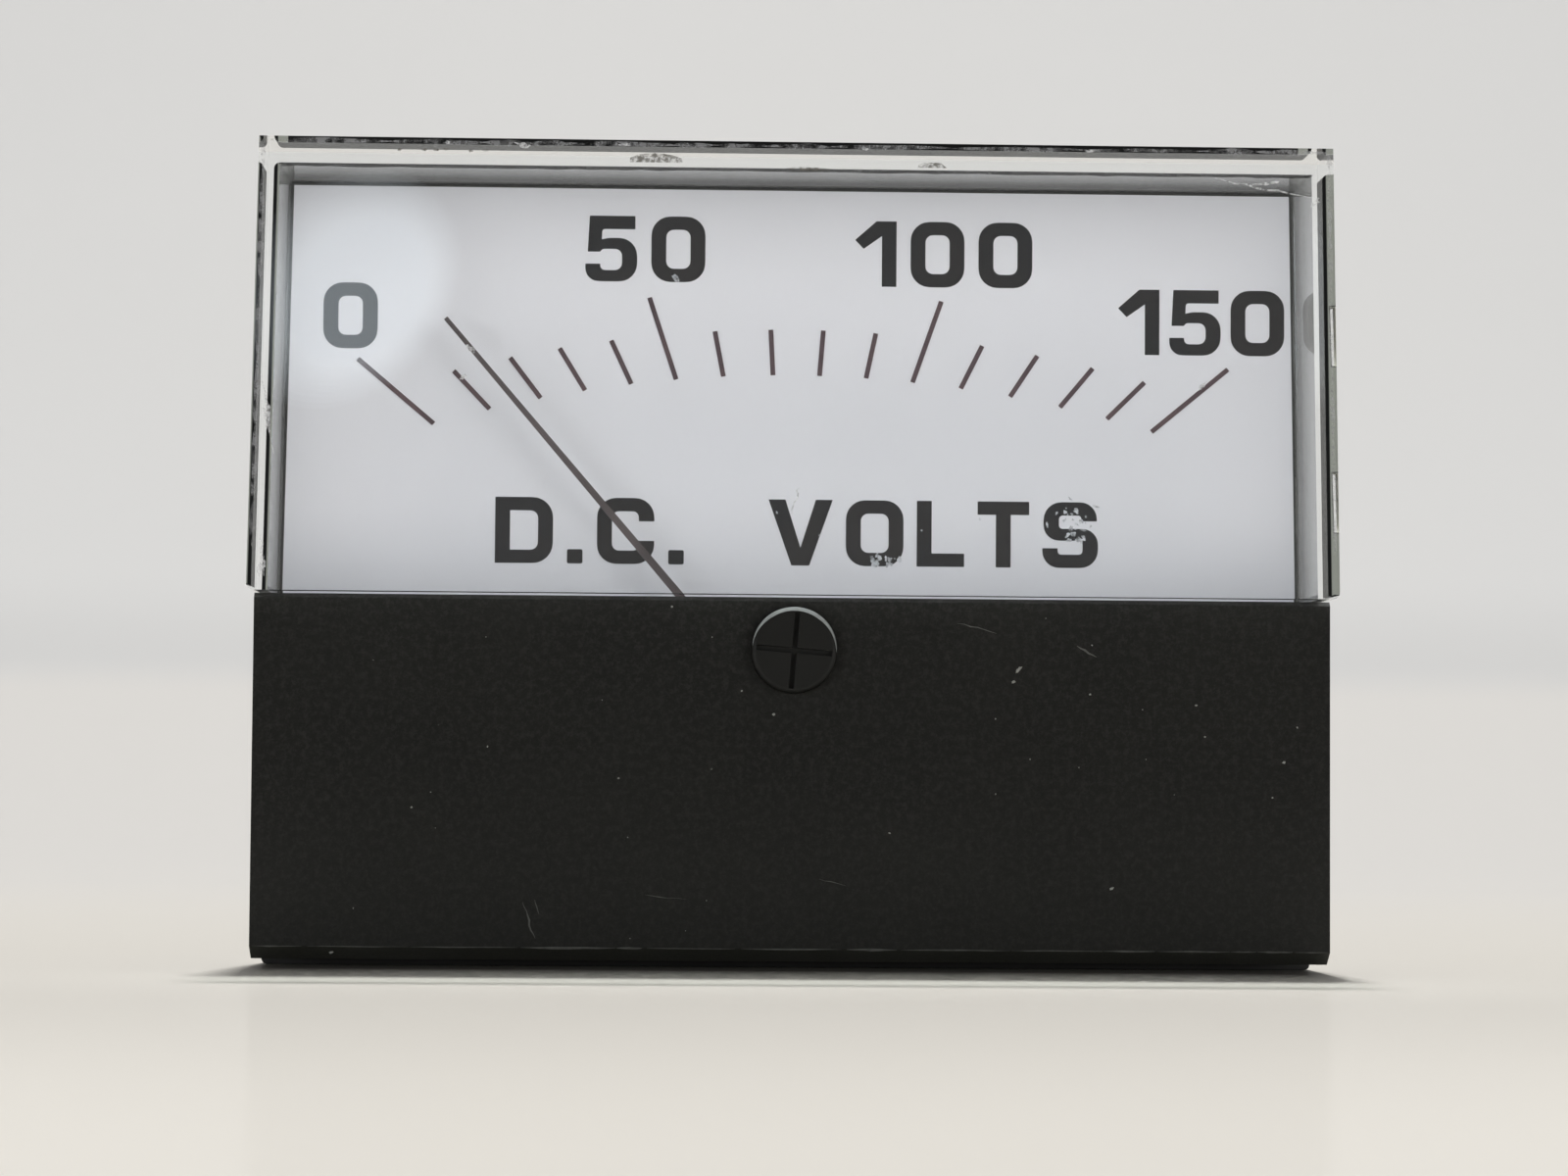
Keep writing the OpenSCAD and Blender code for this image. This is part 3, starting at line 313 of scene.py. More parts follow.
finishes = {
    "case_black": finish("case black", (0.012, 0.012, 0.0115), (0.017, 0.017, 0.016), 0.42, grain=2600.0,
                         bump=0.25, dust=BACK_DUST, edge=0.15, seat=True),
    "clear_acrylic": acrylic("clear acrylic"),
    "mask_black": finish("mask black", (0.0034, 0.0036, 0.0024), (0.0052, 0.0054, 0.0038), 0.6, specular=0.3,
                         grain=4200.0, bump=0.35, depth=0.00003, dust=DUST, edge=0.12, painted_low_light=0.24,
                         mottle=(0.0155, 0.0158, 0.0138)),
    "screw_black": finish("screw black", (0.005, 0.0052, 0.0042), (0.0068, 0.007, 0.0058), 0.5, specular=0.3,
                          grain=3800.0, dust=DUST, edge=0.08),
    "dial_white": dial_paint_with_painted_light("dial white with painted light"),
    "ink": finish("ink", (0.0045, 0.005, 0.008), (0.011, 0.009, 0.0105), 0.6, specular=0.2, blotch=160.0,
                  grain=6000.0, bump=0.15),
    "steel": finish("zinc steel", (0.56, 0.56, 0.54), (0.44, 0.44, 0.43), 0.32, metallic=1.0, blotch=400.0,
                    bump=0.12),
    "brass": finish("brass", (0.72, 0.53, 0.25), (0.55, 0.37, 0.16), 0.3, metallic=1.0, blotch=260.0,
                    bump=0.15, edge=0.12),
    "aluminium": finish("aluminium", (0.7, 0.7, 0.69), (0.58, 0.58, 0.58), 0.38, metallic=1.0, blotch=200.0,
                        stretch=(1.0, 1.0, 0.08)),
    "soft_iron": finish("soft iron", (0.4, 0.4, 0.41), (0.3, 0.3, 0.31), 0.4, metallic=1.0, blotch=180.0),
    "magnet": finish("magnet", (0.17, 0.17, 0.18), (0.11, 0.11, 0.12), 0.5, metallic=0.8, blotch=220.0,
                     bump=0.4),
    "copper_wire": finish("copper wire", (0.55, 0.2, 0.08), (0.4, 0.13, 0.05), 0.35, metallic=0.8, blotch=300.0,
                          stretch=(0.1, 1.0, 0.1), grain=9000.0, bump=0.6),
    "pointer_dark": finish("pointer dark", (0.05, 0.038, 0.041), (0.085, 0.066, 0.07), 0.5, specular=0.3,
                           blotch=140.0),
    "spring_bronze": finish("spring bronze", (0.65, 0.4, 0.17), (0.5, 0.3, 0.12), 0.3, metallic=1.0,
                            blotch=300.0),
    "tinned": finish("tinned", (0.62, 0.6, 0.55), (0.48, 0.46, 0.42), 0.36, metallic=1.0, blotch=350.0),
    "resistor_body": finish("resistor body", (0.42, 0.28, 0.17), (0.34, 0.22, 0.13), 0.5, blotch=300.0),
    "lead_red": finish("lead red", (0.36, 0.03, 0.02), (0.28, 0.022, 0.016), 0.5, blotch=300.0),
    "lead_black": finish("lead black", (0.02, 0.02, 0.02), (0.028, 0.028, 0.027), 0.5, blotch=300.0),
}

for part in frame["record"]["subparts"]:
    shown = frame["nodes"][part["node"]]
    shown.data.materials.clear()
    shown.data.materials.append(finishes[part["material_slot"]])
frame["nodes"]["scale_marks"].data.materials[0] = finish(
    "thin ink", (0.07, 0.043, 0.054), (0.1, 0.062, 0.07), 0.6, specular=0.2, blotch=260.0, grain=6000.0,
    bump=0.15)


# Shares of painted shade on the window's inner side walls and on its top wall
WALL_PAINTED_SHADE, TOP_PAINTED_SHADE = 0.7, 0.85
FACING, BEVEL_FACING = 0.7, 0.3


def grey_inner_walls():
    """The window's inner walls are greyed by painted shade, unlike its polished front, and its tabs are stuck
    into the flange.
    """
    pane = frame["nodes"]["window"].data
    polished = 0
    wall, stuck, top_wall = range(1, 4)
    for look in (acrylic("acrylic wall with painted shade", WALL_PAINTED_SHADE), cement("tab cement"),
                 acrylic("acrylic top wall with painted shade", TOP_PAINTED_SHADE)):
        pane.materials.append(look)
    flange_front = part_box("base")[0].y
    for face in pane.polygons:
        inward = -face.normal.x * math.copysign(1.0, face.center.x)
        if inward > FACING:
            face.material_index = wall
        elif face.normal.z < -FACING and face.center.z > 0.0:
            face.material_index = top_wall
        if face.center.y > flange_front + 0.1 * MM:
            face.material_index = polished if face.normal.y > FACING else stuck


grey_inner_walls()
# Painted light: the mask's down-facing lower bevel gets a paler black, standing in for light from the table
lower_edge = frame["nodes"]["mask"].data
lower_edge.materials.append(finish(
    "mask bevel painted light", (0.034, 0.035, 0.029), (0.042, 0.043, 0.037), 0.6, specular=0.3, grain=4200.0, bump=0.35,
    depth=0.00003, dust=DUST, edge=0.12))
for face in lower_edge.polygons:
    if face.normal.y < -BEVEL_FACING and face.normal.z < -BEVEL_FACING:
        face.material_index = 1


# Mesh helpers

def keep(name, mesh, look, body, stands_for=()):
    """Puts a mesh into the scene as a piece of the object, with its finish, on its body."""
    piece = bpy.data.objects.new(name, mesh)
    scene.collection.objects.link(piece)
    mesh.materials.clear()
    mesh.materials.append(finishes[look])
    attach(piece, body)
    if stands_for:
        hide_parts(*stands_for)
    return piece


def skin(work, rows, closed=False, smooth=False):
    """Faces between neighbouring rows of vertices; closed joins each row's last vertex to its first."""
    for first, second in zip(rows, rows[1:]):
        for step in range(len(first) if closed else len(first) - 1):
            ahead = (step + 1) % len(first)
            work.faces.new((first[step], first[ahead], second[ahead], second[step])).smooth = smooth


def arc_corner(before, corner, after, radius, steps=6):
    """Points that round one corner of an outline."""
    back = (before - corner).normalized()
    ahead = (after - corner).normalized()
    half = back.angle(ahead) / 2.0
    reach = radius / math.tan(half)
    middle = corner + (back + ahead).normalized() * (radius / math.sin(half))
    first, last = corner + back * reach - middle, corner + ahead * reach - middle
    turn = first.angle_signed(last)
    return [middle + Matrix.Rotation(-turn * step / steps, 2) @ first for step in range(steps + 1)]


def outline(points):
    """Outline from (x, z, radius) corners; radius 0 leaves the corner sharp."""
    corners = [Vector(point[:2]) for point in points]
    loop = []
    for index, point in enumerate(points):
        radius = point[2] if len(point) > 2 else 0.0
        if radius > 0.0:
            after = corners[(index + 1) % len(points)]
            loop += arc_corner(corners[index - 1], corners[index], after, radius)
        else:
            loop.append(corners[index])
    return loop


def box_loop(low_x, low_z, high_x, high_z, radius):
    return outline([(low_x, low_z, radius), (low_x, high_z, radius), (high_x, high_z, radius),
                    (high_x, low_z, radius)])


def plate_mesh(name, loops, thick):
    """Flat plate of closed loops in x and z, holes included, in mm: it stands on y 0 and rises towards -y."""
    curve = bpy.data.curves.new(name + "_outline", "CURVE")
    curve.dimensions = "2D"
    curve.fill_mode = "BOTH"
    curve.extrude = thick * MM / 2.0
    for loop in loops:
        spline = curve.splines.new("POLY")
        spline.points.add(len(loop) - 1)
        for point, place in zip(spline.points, loop):
            point.co = (place.x * MM, place.y * MM, 0.0, 1.0)
        spline.use_cyclic_u = True
    shape = bpy.data.objects.new(name + "_outline", curve)
    scene.collection.objects.link(shape)
    bpy.context.view_layer.update()
    mesh = bpy.data.meshes.new_from_object(shape.evaluated_get(bpy.context.evaluated_depsgraph_get()))
    mesh.name = name
    bpy.data.objects.remove(shape)
    bpy.data.curves.remove(curve)
    upright = Matrix.Rotation(math.radians(90.0), 4, "X")
    mesh.transform(Matrix.Translation((0.0, -thick * MM / 2.0, 0.0)) @ upright)
    return mesh


# Printed figures and lettering of the dial, each glyph in mm from its lower left corner

CAP = 5.55
STEM = 1.25
BAR = 1.12
OUTER_R, INNER_R = 1.6, 0.65
INK_THICK = 0.03


def ring_glyph(width):
    return [box_loop(0.0, 0.0, width, CAP, OUTER_R), box_loop(STEM, BAR, width - STEM, CAP - BAR, INNER_R)]


GLYPHS = {
    "0": (4.55, ring_glyph(4.55)),
    "O": (4.85, ring_glyph(4.85)),
    "1": (3.5, [outline([
        (3.5, CAP), (1.8, CAP), (0.0, 3.95), (0.72, 3.2), (2.27, 4.3), (2.27, 0.0), (3.5, 0.0)])]),
    "5": (4.35, [outline([
        (0.34, CAP), (4.18, CAP), (4.18, 4.43), (1.4, 4.43, 0.25), (1.36, 3.55), (2.0, 3.68), (4.35, 3.68, 1.5),
        (4.35, 0.0, 1.5), (0.0, 0.0, 1.1), (0.0, 1.48), (1.25, 1.48), (1.25, 0.95, 0.4), (3.08, 0.95, 0.6),
        (3.08, 2.75, 0.6), (1.45, 2.75, 0.3), (1.22, 2.5), (0.19, 2.5)])]),
    "D": (4.85, [outline([(0.0, 0.0), (0.0, CAP), (4.85, CAP, 1.7), (4.85, 0.0, 1.7)]),
                 outline([(STEM, BAR), (STEM, CAP - BAR), (3.6, CAP - BAR, 0.65), (3.6, BAR, 0.65)])]),
    "C": (4.8, [outline([
        (4.8, 3.6), (4.8, CAP, 1.6), (0.0, CAP, 1.6), (0.0, 0.0, 1.6), (4.8, 0.0, 1.6), (4.8, 1.95), (3.5, 1.95),
        (3.5, BAR, 0.5), (STEM, BAR, 0.6), (STEM, CAP - BAR, 0.6), (3.5, CAP - BAR, 0.5), (3.5, 3.6)])]),
    "V": (5.4, [outline([
        (0.0, CAP), (1.42, CAP), (2.7, 1.5), (3.98, CAP), (5.4, CAP), (3.45, 0.0), (1.95, 0.0)])]),
    "L": (4.0, [outline([(0.0, 0.0), (0.0, CAP), (STEM, CAP), (STEM, BAR), (4.0, BAR), (4.0, 0.0)])]),
    "T": (4.35, [outline([
        (0.0, CAP), (4.35, CAP), (4.35, CAP - BAR), (2.8, CAP - BAR), (2.8, 0.0), (1.55, 0.0),
        (1.55, CAP - BAR), (0.0, CAP - BAR)])]),
    "S": (4.7, [outline([
        (4.6, 3.95), (4.6, CAP, 1.4), (0.1, CAP, 1.5), (0.1, 2.3, 1.3), (3.4, 2.3, 0.3), (3.4, BAR, 0.35),
        (1.3, BAR, 0.3), (1.3, 1.65), (0.0, 1.65), (0.0, 0.0, 1.4), (4.7, 0.0, 1.5), (4.7, 3.3, 1.3),
        (1.4, 3.3, 0.3), (1.4, CAP - BAR, 0.35), (3.3, CAP - BAR, 0.3), (3.3, 3.95)])]),
    ".": (1.3, [box_loop(0.0, 0.0, 1.3, 1.2, 0.15)]),
}


def word(text, left, right, low):
    """Loops of a word whose glyphs are spread between left and right on the line low."""
    gap = (right - left - sum(GLYPHS[letter][0] for letter in text)) / max(len(text) - 1, 1)
    loops, at = [], left
    for letter in text:
        width, shapes = GLYPHS[letter]
        for shape in shapes:
            loops.append([Vector((at, low)) + point for point in shape])
        at += width + gap
    return loops


def print_word(name, text, left, right, low):
    """Prints a word on the dial."""
    mesh = plate_mesh(name, word(text, left, right, low), INK_THICK)
    mesh.transform(Matrix.Translation((0.0, DIAL_FRONT, 0.0)))
    keep(name, mesh, "ink", "case")


print_word("figure_zero", "0", -39.45, -34.9, 17.5)
print_word("figure_fifty", "50", -17.5, -7.4, 23.4)
print_word("figure_hundred", "100", 5.25, 20.25, 23.2)
print_word("figure_full", "150", 27.55, 41.65, 17.65)
UNIT_LOW = -0.45
print_word("unit_kind", "D.C.", -24.85, -9.0, UNIT_LOW)
print_word("unit_name", "VOLTS", -1.9, 25.9, UNIT_LOW)


# Wear and painted light: specks, scratches, scuffs and strips as thin meshes on the surface they lie on

FLAKE_SIDES, FLAKE_TOP = 14, 0.8
UNCUT = -9.0


def blob(work, x, y, z, wide, high, lean, jag, thick, flat=UNCUT):
    """Irregular flake in mm on a front surface at y, in metres, rising towards -y. flat cuts its lower side."""
    turn = Matrix.Rotation(math.radians(lean), 2)
    rim, top = [], []
    for step in range(FLAKE_SIDES):
        angle = 2.0 * math.pi * step / FLAKE_SIDES
        reach = 1.0 + rng.uniform(-jag, jag)
        point = turn @ Vector((wide / 2.0 * reach * math.cos(angle), high / 2.0 * reach * math.sin(angle)))
        point.y = max(point.y, flat)
        for ring, share, rise in ((rim, 1.0, 0.0), (top, FLAKE_TOP, thick)):
            ring.append(work.verts.new(((x + point.x * share) * MM, y - rise * MM, (z + point.y * share) * MM)))
    skin(work, [rim, top], closed=True)
    work.faces.new(top)


def streak(work, path, y, wide, thick):
    """Scratch along a path of (x, z) points in mm on a front surface at y, in metres."""
    points = [Vector(point) for point in path]
    rows = []
    for index, point in enumerate(points):
        ahead = points[min(index + 1, len(points) - 1)] - points[max(index - 1, 0)]
        side = Vector((-ahead.y, ahead.x)).normalized()
        share = math.sin(math.pi * (index + 0.6) / (len(points) + 0.2))
        reach = wide / 2.0 * share * rng.uniform(0.7, 1.2)
        rows.append([work.verts.new(((point.x + side.x * reach * part) * MM, y - thick * MM * (part == 0),
                                     (point.y + side.y * reach * part) * MM)) for part in (-1, 0, 1)])
    skin(work, rows)


def wander(start, end, steps, stray):
    """A path from start to end that strays a little."""
    first, last = Vector(start), Vector(end)
    side = Vector((first.y - last.y, last.x - first.x)).normalized()
    return [first.lerp(last, step / steps) + side * rng.uniform(-stray, stray) for step in range(steps + 1)]


def close(work, name):
    """Ends the work on a mesh, with its faces turned outwards."""
    bmesh.ops.recalc_face_normals(work, faces=work.faces)
    mesh = bpy.data.meshes.new(name)
    work.to_mesh(mesh)
    work.free()
    return mesh


finishes["dust"] = finish("dust", (0.45, 0.46, 0.43), (0.3, 0.3, 0.28), 0.85, specular=0.1, grain=9000.0,
                          bump=0.5)
# Paler black for the real scratches and for the painted highlight along the mask's lower edge
finishes["mask_bright"] = finish("mask bright", (0.07, 0.071, 0.064), (0.11, 0.112, 0.102), 0.55, blotch=900.0)
# Painted highlight for the zero screw's upper rim
finishes["rub_marks_and_painted_rim_highlight"] = finish("painted rim highlight", (0.4, 0.43, 0.43), (0.33, 0.35, 0.35), 0.45, blotch=1200.0,
                            grain=6000.0)
finishes["scuff"] = haze("scuff", (0.9, 0.91, 0.94), 3200.0, 0.1, 0.85)
finishes["bruise"] = haze("bruise", (0.16, 0.15, 0.13), 2600.0, 0.15, 0.9)
finishes["edge_wear"] = haze("edge wear", (0.6, 0.61, 0.64), 1100.0, 0.0, 0.45)
finishes["corner_dark"] = haze("corner dark", (0.02, 0.02, 0.022), 1500.0, 0.7, 0.98)
finishes["bare_paint"] = haze("bare paint", (0.66, 0.68, 0.74), 2200.0, 0.2, 0.95)

# Spots are x, z, width, height and lean
SPECK_SPOTS = (
    (18.4, -9.4, 0.75, 0.3, 50.0), (18.0, -10.4, 0.35, 0.22, 20.0), (40.2, -16.8, 0.3, 0.22, 0.0),
    (26.1, -27.2, 0.35, 0.2, 30.0), (-1.6, -13.2, 0.25, 0.2, 0.0), (-31.0, -21.0, 0.2, 0.16, 0.0),
    (-14.2, -18.5, 0.18, 0.15, 0.0), (7.9, -22.8, 0.2, 0.14, 0.0), (33.0, -12.2, 0.22, 0.16, 10.0))
FINE_SPECKS, SPECK_HALF, SPECK_LOW, SPECK_HIGH = 26, 43.0, -32.0, -4.5
BEVEL_SET_BACK = 0.66 * MM

specks = bmesh.new()
for x, z, wide, high, lean in SPECK_SPOTS:
    blob(specks, x, MASK_FRONT, z, wide, high, lean, 0.3, 0.03)
for _ in range(FINE_SPECKS):
    size = rng.uniform(0.07, 0.17)
    blob(specks, rng.uniform(-SPECK_HALF, SPECK_HALF), MASK_FRONT, rng.uniform(SPECK_LOW, SPECK_HIGH), size,
         size * rng.uniform(0.6, 1.0), rng.uniform(0.0, 180.0), 0.35, 0.02)
blob(specks, -37.4, MASK_FRONT + BEVEL_SET_BACK, -32.8, 0.4, 0.22, 10.0, 0.25, 0.03)
keep("mask_specks", close(specks, "mask_specks"), "dust", "case")

# Scratches are start, end, steps, stray and width
SCRATCHES = (
    ((-21.9, -28.6), (-20.9, -31.6), 8, 0.08, 0.14), ((-20.9, -28.4), (-20.6, -29.6), 4, 0.04, 0.08),
    ((13.4, -5.6), (16.6, -6.4), 6, 0.06, 0.1), ((23.2, -7.4), (24.8, -8.3), 5, 0.06, 0.16),
    ((-12.0, -28.0), (-8.6, -28.3), 6, 0.05, 0.07), ((2.2, -26.6), (4.4, -27.1), 5, 0.05, 0.07))
SCRATCH_THICK = 0.01
BEVEL_Z, BEVEL_HALF = -32.3, 43.8

lines = bmesh.new()
for start, end, steps, stray, wide in SCRATCHES:
    streak(lines, wander(start, end, steps, stray), MASK_FRONT, wide, SCRATCH_THICK)
# Painted highlight: broken pale streaks along the mask's lower front edge, standing in for the edge catching
# light
at = -BEVEL_HALF
while at < BEVEL_HALF - 0.8:
    end = min(at + rng.uniform(2.0, 9.0), BEVEL_HALF)
    streak(lines, wander((at, BEVEL_Z), (end, BEVEL_Z), 6, 0.015), MASK_FRONT, rng.uniform(0.1, 0.22),
           SCRATCH_THICK)
    at = end + rng.uniform(0.0, 0.5)
keep("mask_scratches_and_edge_highlight", close(lines, "mask_scratches_and_edge_highlight"), "mask_bright", "case")

# Painted highlight: a pale arc on the zero screw's upper rim, standing in for light from above
ZERO_Z, ZERO_R, ZERO_ROUND, ZERO_FRONT = -8.0, 3.55, 0.45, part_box("zero_screw")[0].y / MM
RIM_STEPS, RIM_FROM, RIM_SWEEP = 48, -84.0, 176.0
RIM_TILT, RIM_TILT_HALF, RIM_LIFT = 46.0, 30.0, 0.008

rim = bmesh.new()
highlight_rows = []
for step in range(RIM_STEPS + 1):
    turn = math.radians(RIM_FROM + RIM_SWEEP * step / RIM_STEPS)
    fade = min(1.0, 0.04 + 3.2 * min(step, RIM_STEPS - step) / RIM_STEPS)
    row = []
    for part in (-1.0, -0.5, 0.0, 0.5, 1.0):
        tilt = math.radians(RIM_TILT + RIM_TILT_HALF * part * fade)
        reach = ZERO_R - ZERO_ROUND + (ZERO_ROUND + RIM_LIFT) * math.sin(tilt)
        depth = ZERO_FRONT + ZERO_ROUND - (ZERO_ROUND + RIM_LIFT) * math.cos(tilt)
        row.append(rim.verts.new((reach * math.sin(turn) * MM, depth * MM,
                                  (ZERO_Z + reach * math.cos(turn)) * MM)))
    highlight_rows.append(row)
skin(rim, highlight_rows, smooth=True)
keep("zero_screw_painted_rim_highlight", close(rim, "zero_screw_painted_rim_highlight"), "rub_marks_and_painted_rim_highlight", "zero_screw")

# Spots are x, z, width, height, lean and jag
SCUFF_SPOTS = (
    (33.1, 13.8, 0.7, 0.35, 45.0, 0.3), (-27.1, 13.95, 0.7, 0.4, 40.0, 0.4),
    (-26.5, 16.25, 0.8, 0.4, -30.0, 0.4), (42.4, 29.0, 0.9, 0.4, 40.0, 0.5),
    (38.6, 30.6, 2.2, 0.3, 8.0, 0.5), (-42.9, 10.6, 0.5, 2.4, 5.0, 0.5),
    (-43.2, -1.6, 0.5, 1.6, -8.0, 0.5), (-28.6, 33.1, 0.5, 0.3, 0.0, 0.4),
    (-22.5, 33.0, 1.3, 0.4, -8.0, 0.5), (-14.1, 33.1, 0.9, 0.25, 0.0, 0.5),
    (5.5, 33.0, 0.7, 0.2, 0.0, 0.5), (24.0, 33.05, 0.9, 0.2, 0.0, 0.5))
SCUFF_STREAKS = (
    ((-43.4, 14.0), (-42.4, 7.5)), ((34.0, 30.9), (42.0, 29.4)), ((-43.3, 1.0), (-42.9, -2.4)),
    ((0.2, 5.2), (-0.3, 3.0)), ((33.6, 14.2), (32.8, 13.5)))
SCUFF_THICK = 0.012

scuffs = bmesh.new()
for x, z, wide, high, lean, jag in SCUFF_SPOTS:
    blob(scuffs, x, WINDOW_FRONT, z, wide, high, lean, jag, SCUFF_THICK)
for start, end in SCUFF_STREAKS:
    streak(scuffs, wander(start, end, 9, 0.12), WINDOW_FRONT, 0.16, SCUFF_THICK)
keep("window_scuffs", close(scuffs, "window_scuffs"), "scuff", "case")

CHIP_THICK = 0.014
TOP_CHIPS_Z = 32.5

chips = bmesh.new()
for x, z, wide, high, jag in ((-11.6, 31.68, 4.5, 1.6, 0.05), (10.9, 31.5, 2.4, 0.95, 0.08)):
    blob(chips, x, WINDOW_FRONT, z, wide, high, 0.0, jag, CHIP_THICK, 0.0)
for x, wide in ((-32.5, 0.35), (-30.5, 0.5), (-29.5, 0.6), (-28.7, 0.4), (-26.7, 0.35), (-25.5, 0.5)):
    blob(chips, x, WINDOW_FRONT, TOP_CHIPS_Z + rng.uniform(-0.05, 0.05), wide, 0.22, 0.0, 0.3, CHIP_THICK)
blob(chips, 0.9, WINDOW_FRONT, 31.3, 3.6, 0.3, -1.0, 0.2, CHIP_THICK)
keep("window_chips", close(chips, "window_chips"), "bruise", "case")

# A dark strip along the inner corner where the window's top wall meets its front pane
TOP_IN_Z, PANE_IN_Y = 31.5, -14.0
DARK_STRIP_HALF, DARK_STRIP_STEPS = 42.4, 60

darkening = bmesh.new()
dark_strip_rows = []
for step in range(DARK_STRIP_STEPS + 1):
    x = -DARK_STRIP_HALF + 2.0 * DARK_STRIP_HALF * step / DARK_STRIP_STEPS
    reach = rng.uniform(1.5, 2.1)
    dark_strip_rows.append([
        darkening.verts.new((x * MM, (PANE_IN_Y + 0.01 + reach * part) * MM, (TOP_IN_Z - drop) * MM))
        for part, drop in ((0.0, 0.03), (0.5, 0.02), (1.0, 0.01))])
skin(darkening, dark_strip_rows)
keep("window_corner_dark_strip", close(darkening, "window_corner_dark_strip"), "corner_dark", "case")

# Spots as on the mask; patches are x, z, spread in x, spread in z and count
PRINT_SPOTS = (
    (-9.9, 23.75, 0.5, 0.8, 35.0), (11.0, 2.6, 0.14, 0.14, 0.0), (15.9, 3.6, 0.14, 0.2, 0.0),
    (2.4, 2.1, 0.16, 0.2, 0.0), (-1.2, 4.0, 0.16, 0.25, 20.0), (21.6, 3.2, 0.16, 0.6, 10.0))
PRINT_PATCHES = ((24.1, 3.4, 0.75, 0.75, 30), (7.7, 0.1, 0.85, 0.28, 24))
ON_INK = DIAL_FRONT - INK_THICK * MM
PRINT_THICK = 0.008

lost = bmesh.new()
for x, z, wide, high, lean in PRINT_SPOTS:
    blob(lost, x, ON_INK, z, wide, high, lean, 0.35, PRINT_THICK)
for x, z, wide, high, count in PRINT_PATCHES:
    for _ in range(count):
        size = rng.uniform(0.15, 0.55)
        blob(lost, rng.gauss(x, wide), ON_INK, rng.gauss(z, high), size, size * rng.uniform(0.4, 0.9),
             rng.uniform(0.0, 180.0), 0.4, PRINT_THICK)
keep("worn_print", close(lost, "worn_print"), "bare_paint", "case")

EDGE_Z, EDGE_X, EDGE_TOP, EDGE_HALF = 33.15, WALL_OUT / MM - 0.35, 33.0, 43.4
EDGE_IN = EDGE_X - EDGE_TOP * WALL_LEAN

worn = bmesh.new()
for start, end in (((-EDGE_HALF, EDGE_Z), (EDGE_HALF, EDGE_Z)), ((-EDGE_X, 0.0), (-EDGE_IN, EDGE_TOP)),
                   ((EDGE_X, 0.0), (EDGE_IN, EDGE_TOP))):
    first, last = Vector(start), Vector(end)
    length, at = (last - first).length, 0.0
    while at < length - 1.0:
        stop = min(at + rng.uniform(3.0, 11.0), length)
        path = wander(first.lerp(last, at / length), first.lerp(last, stop / length), 8, 0.04)
        streak(worn, path, WINDOW_FRONT, rng.uniform(0.35, 0.55), SCRATCH_THICK)
        at = stop - rng.uniform(0.0, 0.6)
keep("window_edge_wear", close(worn, "window_edge_wear"), "edge_wear", "case")


# Threads of the mounting studs and of the terminals' free ends, round axes along y

THREAD_SIDES, ROWS_PER_TURN = 40, 8
DISC_SIDES = 48


def around(work, x, y, z, reaches):
    """Ring of vertices about an axis along y, in mm, one for each reach."""
    ring = []
    for step, reach in enumerate(reaches):
        angle = 2.0 * math.pi * step / len(reaches)
        ring.append(work.verts.new(((x + reach * math.cos(angle)) * MM, y * MM,
                                    (z + reach * math.sin(angle)) * MM)))
    return ring


def rod(work, rings):
    """Closed rod through rings of vertices."""
    skin(work, rings, closed=True)
    work.faces.new(rings[0])
    work.faces.new(rings[-1])


def thread(work, x, z, start, end, root, crest, pitch, chamfer):
    """Threaded rod along y in mm, its end closed at the far side with a chamfer."""
    rows = int((end - start) / pitch * ROWS_PER_TURN)
    rings = []
    for row in range(rows + 1):
        y = start + (end - start) * row / rows
        limit = crest - max(0.0, chamfer - (end - y))
        reaches = []
        for step in range(THREAD_SIDES):
            share = (y / pitch - step / THREAD_SIDES) % 1.0
            reaches.append(min(root + (crest - root) * (1.0 - abs(2.0 * share - 1.0)), limit))
        rings.append(around(work, x, y, z, reaches))
    rod(work, rings)


def disc(work, x, z, start, end, radius, chamfer):
    """Round disc along y in mm with a chamfer at its far edge."""
    rod(work, [around(work, x, y, z, [reach] * DISC_SIDES)
               for y, reach in ((start, radius), (end - chamfer, radius), (end, radius - chamfer))])


def islands(name):
    """Middle (x, z) in mm of each loose solid of a CAD node."""
    work = bmesh.new()
    work.from_mesh(frame["nodes"][name].data)
    bmesh.ops.remove_doubles(work, verts=work.verts, dist=1e-6)
    left, middles = set(work.verts), []
    while left:
        stack, seen = [left.pop()], []
        while stack:
            vert = stack.pop()
            seen.append(vert.co)
            for edge in vert.link_edges:
                other = edge.other_vert(vert)
                if other in left:
                    left.remove(other)
                    stack.append(other)
        middles.append(tuple((min(co[axis] for co in seen) + max(co[axis] for co in seen)) / 2.0 / MM
                             for axis in (0, 2)))
    work.free()
    return middles


STUD_R, STUD_HEAD_R, STUD_HEAD_CHAMFER = 2.05, 2.9, 0.15
STUD_DEPTH, STUD_PITCH, STUD_CHAMFER, STUD_SUNK = 0.26, 0.79, 0.6, 0.2
studs = bmesh.new()
stud_low, stud_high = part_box("mounting_studs")
for x, z in islands("mounting_studs"):
    disc(studs, x, z, stud_low.y / MM, 0.0, STUD_HEAD_R, STUD_HEAD_CHAMFER)
    thread(studs, x, z, -STUD_SUNK, stud_high.y / MM, STUD_R - STUD_DEPTH, STUD_R, STUD_PITCH, STUD_CHAMFER)
keep("threaded_studs", close(studs, "threaded_studs"), "steel", "case", ["mounting_studs"])

